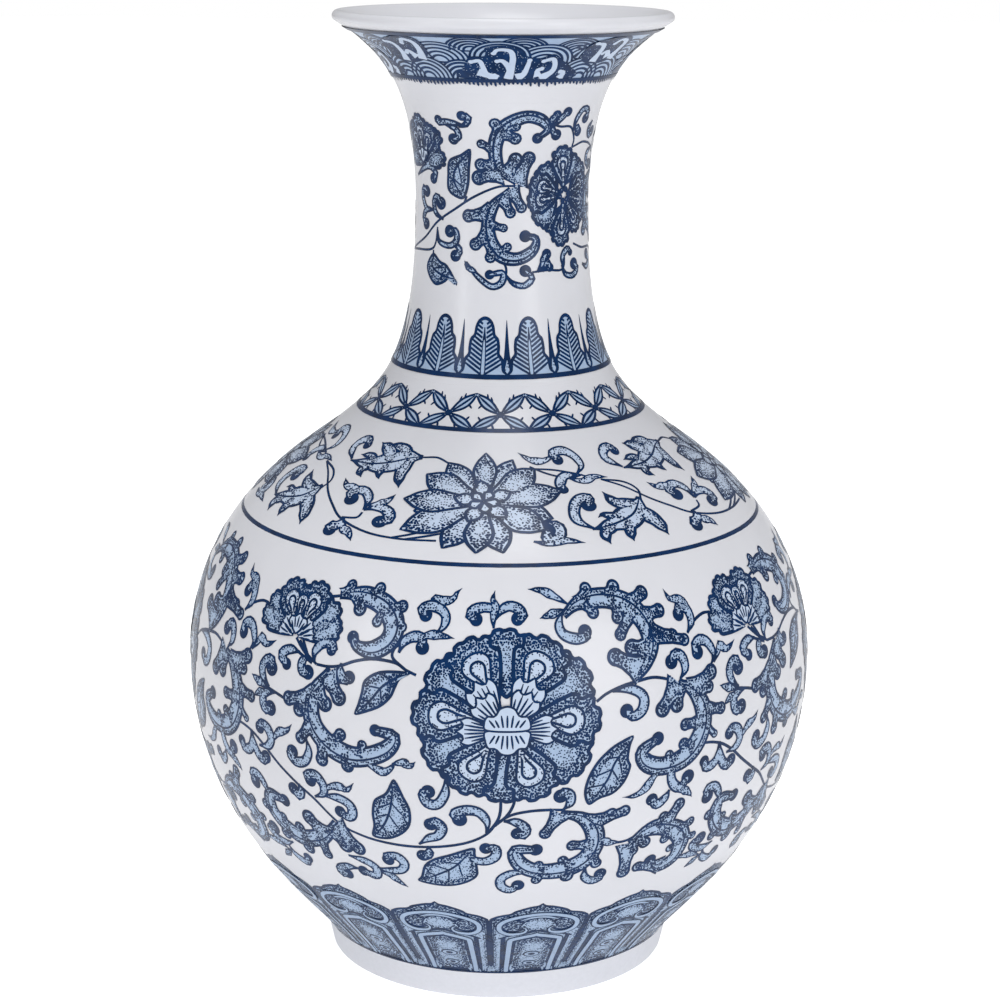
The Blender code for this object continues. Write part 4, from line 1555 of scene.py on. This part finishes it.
def template(kind):
    """The flat template of a strip, a patch or a dot."""
    shape, around, across = kind
    bm = bmesh.new()
    if shape == "strip":
        bmesh.ops.create_grid(bm, x_segments=around, y_segments=across, size=0.5)
        bmesh.ops.translate(bm, verts=bm.verts, vec=(0.5, 0.5, 0.0))
        bmesh.ops.scale(bm, verts=bm.verts, vec=(around, across, 1.0))
    elif shape == "dot":
        bmesh.ops.create_circle(bm, cap_ends=True, radius=1.0, segments=around)
    else:
        spoke = [bm.verts.new((float(r), 0.0, 0.0)) for r in range(across + 1)]
        edges = [bm.edges.new(pair) for pair in zip(spoke, spoke[1:])]
        bmesh.ops.spin(
            bm,
            geom=spoke + edges,
            cent=(0.0, 0.0, 0.0),
            axis=(0.0, 0.0, 1.0),
            angle=2.0 * math.pi,
            steps=around,
            use_merge=True,
        )
        bmesh.ops.remove_doubles(bm, verts=bm.verts, dist=0.001)
    bm.normal_update()
    if sum(face.normal.z for face in bm.faces) < 0.0:
        bmesh.ops.reverse_faces(bm, faces=bm.faces)
    return bm


def stacked(kind, count):
    """Copies of a template one above another, as a mesh: copy number n lies at height n."""
    bm = template(kind)
    made = 1
    while made < count:
        copies = bmesh.ops.duplicate(bm, geom=bm.verts[:] + bm.edges[:] + bm.faces[:])["geom"]
        raised = [item for item in copies if isinstance(item, bmesh.types.BMVert)]
        bmesh.ops.translate(bm, verts=raised, vec=(0.0, 0.0, float(made)))
        made *= 2
    spare = [vert for vert in bm.verts if vert.co.z > count - 0.5]
    bmesh.ops.delete(bm, geom=spare, context="VERTS")
    mesh = bpy.data.meshes.new("stack")
    bm.to_mesh(mesh)
    bm.free()
    return mesh


def lay(mesh, kind, shapes, wall, reference):
    """Moves each point of the stacked templates to its own shape's place, on the wall."""
    shape, around, _ = kind
    at = np.empty(len(mesh.vertices) * 3, dtype=np.float32)
    mesh.vertices.foreach_get("co", at)
    at = at.reshape(-1, 3)
    number = np.rint(at[:, 2]).astype(int)
    if shape == "strip":
        column, line = np.rint(at[:, 0]).astype(int), np.rint(at[:, 1]).astype(int)
    else:
        turn = np.arctan2(at[:, 1], at[:, 0]) / (2.0 * math.pi) * around
        offset = 0.25 * around if shape == "dot" else 0.0
        column = np.rint(turn - offset).astype(int) % around
        line = np.rint(np.hypot(at[:, 0], at[:, 1])).astype(int)
    stack = np.stack(shapes)
    if shape == "strip":
        flat = stack[number, column, line]
    elif shape == "dot":
        flat = stack[number, column]
    else:
        flat = stack[number, line, column]
    placed = wall.wrap(flat, reference)
    mesh.vertices.foreach_set("co", placed.astype(np.float32).ravel())
    mesh.update()


def printed(bm, drawing, tone, wall, reference):
    """Adds everything in a tone of the drawing to the bmesh, wrapped on the wall."""
    for kind, shapes in drawing.shapes[tone].items():
        mesh = stacked(kind, len(shapes))
        lay(mesh, kind, shapes, wall, reference)
        bm.from_mesh(mesh)
        bpy.data.meshes.remove(mesh)


def copy_round(bm, copies, of):
    """Repeats everything in the bmesh round the vase: copies in all, at every of-th part of a turn."""
    bmesh.ops.spin(
        bm,
        geom=bm.verts[:] + bm.edges[:] + bm.faces[:],
        cent=(0.0, 0.0, 0.0),
        axis=(0.0, 0.0, 1.0),
        angle=2.0 * math.pi * (copies - 1) / of,
        steps=copies - 1,
        use_duplicate=True,
    )


def print_band(name, drawing, band, sheets=1, shift=0.0):
    """Prints a drawing round the vase in pieces: each tone of it, on one or more sheets.

    shift is how far round, in millimetres, the first repeat stands from the front.
    """
    reference, repeats = band
    wall = Wall(bpy.context.scene.porcelain_vase.wall)
    drawing.drop_hidden_dots()
    for tone, finish in TONES.items():
        if not drawing.shapes[tone]:
            continue
        for sheet in range(sheets):
            bm = bmesh.new()
            printed(bm, drawing, tone, wall, reference)
            if repeats > sheets:
                copy_round(bm, repeats // sheets, repeats)
            turn = Matrix.Rotation(2.0 * math.pi * sheet / sheets + shift / reference, 4, "Z")
            bmesh.ops.transform(bm, matrix=turn, verts=bm.verts)
            label = f"{name}_{tone}" if sheets == 1 else f"{name}_{tone}_{sheet + 1}"
            finish_piece(bm, label, finish, [f"{name}_print"])


# ---------------------------------------------------------------- operators


class VASE_OT_sections(Operator):
    """Turn the five porcelain sections"""

    bl_idname = "vase.sections"
    bl_label = "Porcelain Sections"

    def execute(self, context):
        sizes = context.scene.porcelain_vase.wall
        sections = Sections(Wall(sizes), sizes.thickness / MM)
        turned_piece("foot_ring", sections.foot_ring(), "foot_porcelain_painted_light")
        turned_piece("lower_body", sections.lower_body(), "glazed_porcelain", closed=False)
        turned_piece("shoulder", sections.middle(SEAMS[0], SEAMS[1]), "glazed_porcelain")
        turned_piece("neck", sections.middle(SEAMS[1], SEAMS[2]), "glazed_porcelain")
        turned_piece("flared_mouth", sections.mouth(), "glazed_porcelain")
        return {"FINISHED"}


class VASE_OT_body_scroll(Operator):
    """Print the wide band of lotus flowers and scrolls"""

    bl_idname = "vase.body_scroll"
    bl_label = "Body Scroll"

    def execute(self, context):
        print_band("body_scroll", body_sheet(), BELLY, sheets=4)
        return {"FINISHED"}


class VASE_OT_lappets(Operator):
    """Print the lappets above the foot"""

    bl_idname = "vase.lappets"
    bl_label = "Foot Lappets"

    def execute(self, context):
        print_band("foot_lappet", lappet_sheet(), LAPPETS, sheets=4, shift=14.0)
        return {"FINISHED"}


class VASE_OT_shoulder_line(Operator):
    """Print the line above the wide band"""

    bl_idname = "vase.shoulder_line"
    bl_label = "Shoulder Line"

    def execute(self, context):
        print_band("shoulder_line", line_sheet(), SHOULDER)
        return {"FINISHED"}


class VASE_OT_shoulder_lotus(Operator):
    """Print the open flowers and leaves on the shoulder"""

    bl_idname = "vase.shoulder_lotus"
    bl_label = "Shoulder Lotus"

    def execute(self, context):
        print_band("shoulder_lotus", shoulder_sheet(), SHOULDER, sheets=2)
        return {"FINISHED"}


class VASE_OT_lattice(Operator):
    """Print the lattice of crossing petals"""

    bl_idname = "vase.lattice"
    bl_label = "Lattice"

    def execute(self, context):
        print_band("lattice", lattice_sheet(), LATTICE)
        return {"FINISHED"}


class VASE_OT_plantain_leaves(Operator):
    """Print the upright plantain leaves"""

    bl_idname = "vase.plantain_leaves"
    bl_label = "Plantain Leaves"

    def execute(self, context):
        print_band("plantain_leaf", leaves_sheet(), PLANTAIN)
        return {"FINISHED"}


class VASE_OT_neck_scroll(Operator):
    """Print the flowers and scrolls on the neck"""

    bl_idname = "vase.neck_scroll"
    bl_label = "Neck Scroll"

    def execute(self, context):
        print_band("neck_scroll", neck_sheet(), NECK)
        return {"FINISHED"}


class VASE_OT_rim_waves(Operator):
    """Print the waves under the lip"""

    bl_idname = "vase.rim_waves"
    bl_label = "Rim Waves"

    def execute(self, context):
        print_band("rim_wave", rim_sheet(), RIM)
        return {"FINISHED"}


FLOOR_SIZE = 14.0
FLOOR_ROUGHNESS = 0.9
# How bright the floor's glow and the world are for the vase's own light, and as the camera sees them.
FLOOR_GLOW = (0.32, 0.8)
WORLD_LIGHT = (0.34, 1.0)
WHITE = (1.0, 1.0, 1.0, 1.0)
# Each softbox: its name, its place, what it points at, its size in metres and its power in watts.
SOFTBOXES = (
    ('softbox_left', (-1.51, -1.31, 0.7), (0.0, 0.0, 0.3), (0.4, 1.3), 8.0),
    ('softbox_right', (1.18, -1.62, 0.7), (0.0, 0.0, 0.3), (0.75, 1.3), 13.0),
    ('softbox_top', (0.03, -0.1, 2.2), (0.0, 0.0, 0.2), (0.7, 1.8), 20.5),
)
CAMERA_PLACE = (0.0, -0.9423, 0.3997)
CAMERA_DOWN = 13.474
CAMERA_ROLL = 0.386
CAMERA_SENSOR = 36.0
CAMERA_LENS = 92.3


def seen_by_camera(tree, levels):
    """A value that is the first level for the vase's own light, and the second where the camera looks."""
    seen = add_node(tree, "ShaderNodeLightPath").outputs["Is Camera Ray"]
    values = {"To Min": levels[0], "To Max": levels[1]}
    return add_node(tree, "ShaderNodeMapRange", values=values, links={"Value": seen}).outputs["Result"]


def put_on_stage(name, data):
    """A stage object that holds this data."""
    made = bpy.data.objects.new(name, data)
    bpy.context.scene.collection.objects.link(made)
    return made


def make_floor(colour):
    """A sheet of matt white paper, with a faint cloudiness."""
    bm = bmesh.new()
    bmesh.ops.create_grid(bm, x_segments=1, y_segments=1, size=FLOOR_SIZE / 2.0)
    mesh = bpy.data.meshes.new("floor")
    bm.to_mesh(mesh)
    bm.free()
    paper, tree, shader, place = new_material("floor_paper")
    grain = blend_of(tree, blotches(tree, place, 30.0), shifted(colour, -0.01), colour)
    tree.links.new(grain, shader.inputs["Base Color"])
    shader.inputs["Roughness"].default_value = FLOOR_ROUGHNESS
    shader.inputs["Emission Color"].default_value = WHITE
    tree.links.new(seen_by_camera(tree, FLOOR_GLOW), shader.inputs["Emission Strength"])
    mesh.materials.append(paper)
    put_on_stage("floor", mesh)


def make_world(scene):
    """An even white room."""
    world = bpy.data.worlds.new("studio")
    world.use_nodes = True
    background = world.node_tree.nodes["Background"]
    level = seen_by_camera(world.node_tree, WORLD_LIGHT)
    world.node_tree.links.new(level, background.inputs["Strength"])
    background.inputs["Color"].default_value = WHITE
    scene.world = world
    scene.view_settings.view_transform = "Standard"


def make_softbox(name, place, target, size, power):
    """A rectangular lamp that points at its target."""
    lamp = bpy.data.lights.new(name, "AREA")
    lamp.shape = "RECTANGLE"
    lamp.size, lamp.size_y = size
    lamp.energy = power
    light = put_on_stage(name, lamp)
    light.location = place
    light.rotation_euler = (Vector(target) - Vector(place)).to_track_quat("-Z", "Y").to_euler()


def make_camera(scene):
    """The camera, a little above the vase and looking slightly down."""
    camera = put_on_stage("camera", bpy.data.cameras.new("camera"))
    camera.data.sensor_width = CAMERA_SENSOR
    camera.data.lens = CAMERA_LENS
    pitch = Matrix.Rotation(math.radians(90.0 - CAMERA_DOWN), 4, "X")
    roll = Matrix.Rotation(math.radians(CAMERA_ROLL), 4, "Z")
    camera.matrix_world = Matrix.Translation(CAMERA_PLACE) @ pitch @ roll
    scene.camera = camera


class VASE_OT_stage(Operator):
    """Set the pale floor, the soft light and the camera"""

    bl_idname = "vase.stage"
    bl_label = "Stage"

    def execute(self, context):
        make_floor(tuple(context.scene.porcelain_vase.colours.floor))
        make_world(context.scene)
        for softbox in SOFTBOXES:
            make_softbox(*softbox)
        make_camera(context.scene)
        return {"FINISHED"}


OPERATORS = (
    VASE_OT_sections,
    VASE_OT_body_scroll,
    VASE_OT_lappets,
    VASE_OT_shoulder_line,
    VASE_OT_shoulder_lotus,
    VASE_OT_lattice,
    VASE_OT_plantain_leaves,
    VASE_OT_neck_scroll,
    VASE_OT_rim_waves,
    VASE_OT_stage,
)


class VASE_PT_sidebar(Panel):
    """The vase's pieces, in the order in which they are made"""

    bl_idname = "VASE_PT_sidebar"
    bl_label = "Porcelain Bottle Vase"
    bl_space_type = "VIEW_3D"
    bl_region_type = "UI"
    bl_category = "Vase"

    def draw(self, context):
        settings = context.scene.porcelain_vase
        for group in (settings.wall, settings.colours):
            box = self.layout.box()
            for name in group.__annotations__:
                box.prop(group, name)
        for operator in OPERATORS:
            self.layout.operator(operator.bl_idname)


CLASSES = (VaseWall, VaseColours, VaseSettings, *OPERATORS, VASE_PT_sidebar)


def register():
    for cls in CLASSES:
        bpy.utils.register_class(cls)
    bpy.types.Scene.porcelain_vase = PointerProperty(type=VaseSettings)


def unregister():
    del bpy.types.Scene.porcelain_vase
    for cls in reversed(CLASSES):
        bpy.utils.unregister_class(cls)


def main():
    register()
    for operator in OPERATORS:
        group, name = operator.bl_idname.split(".")
        getattr(getattr(bpy.ops, group), name)()


if __name__ == "__main__":
    main()
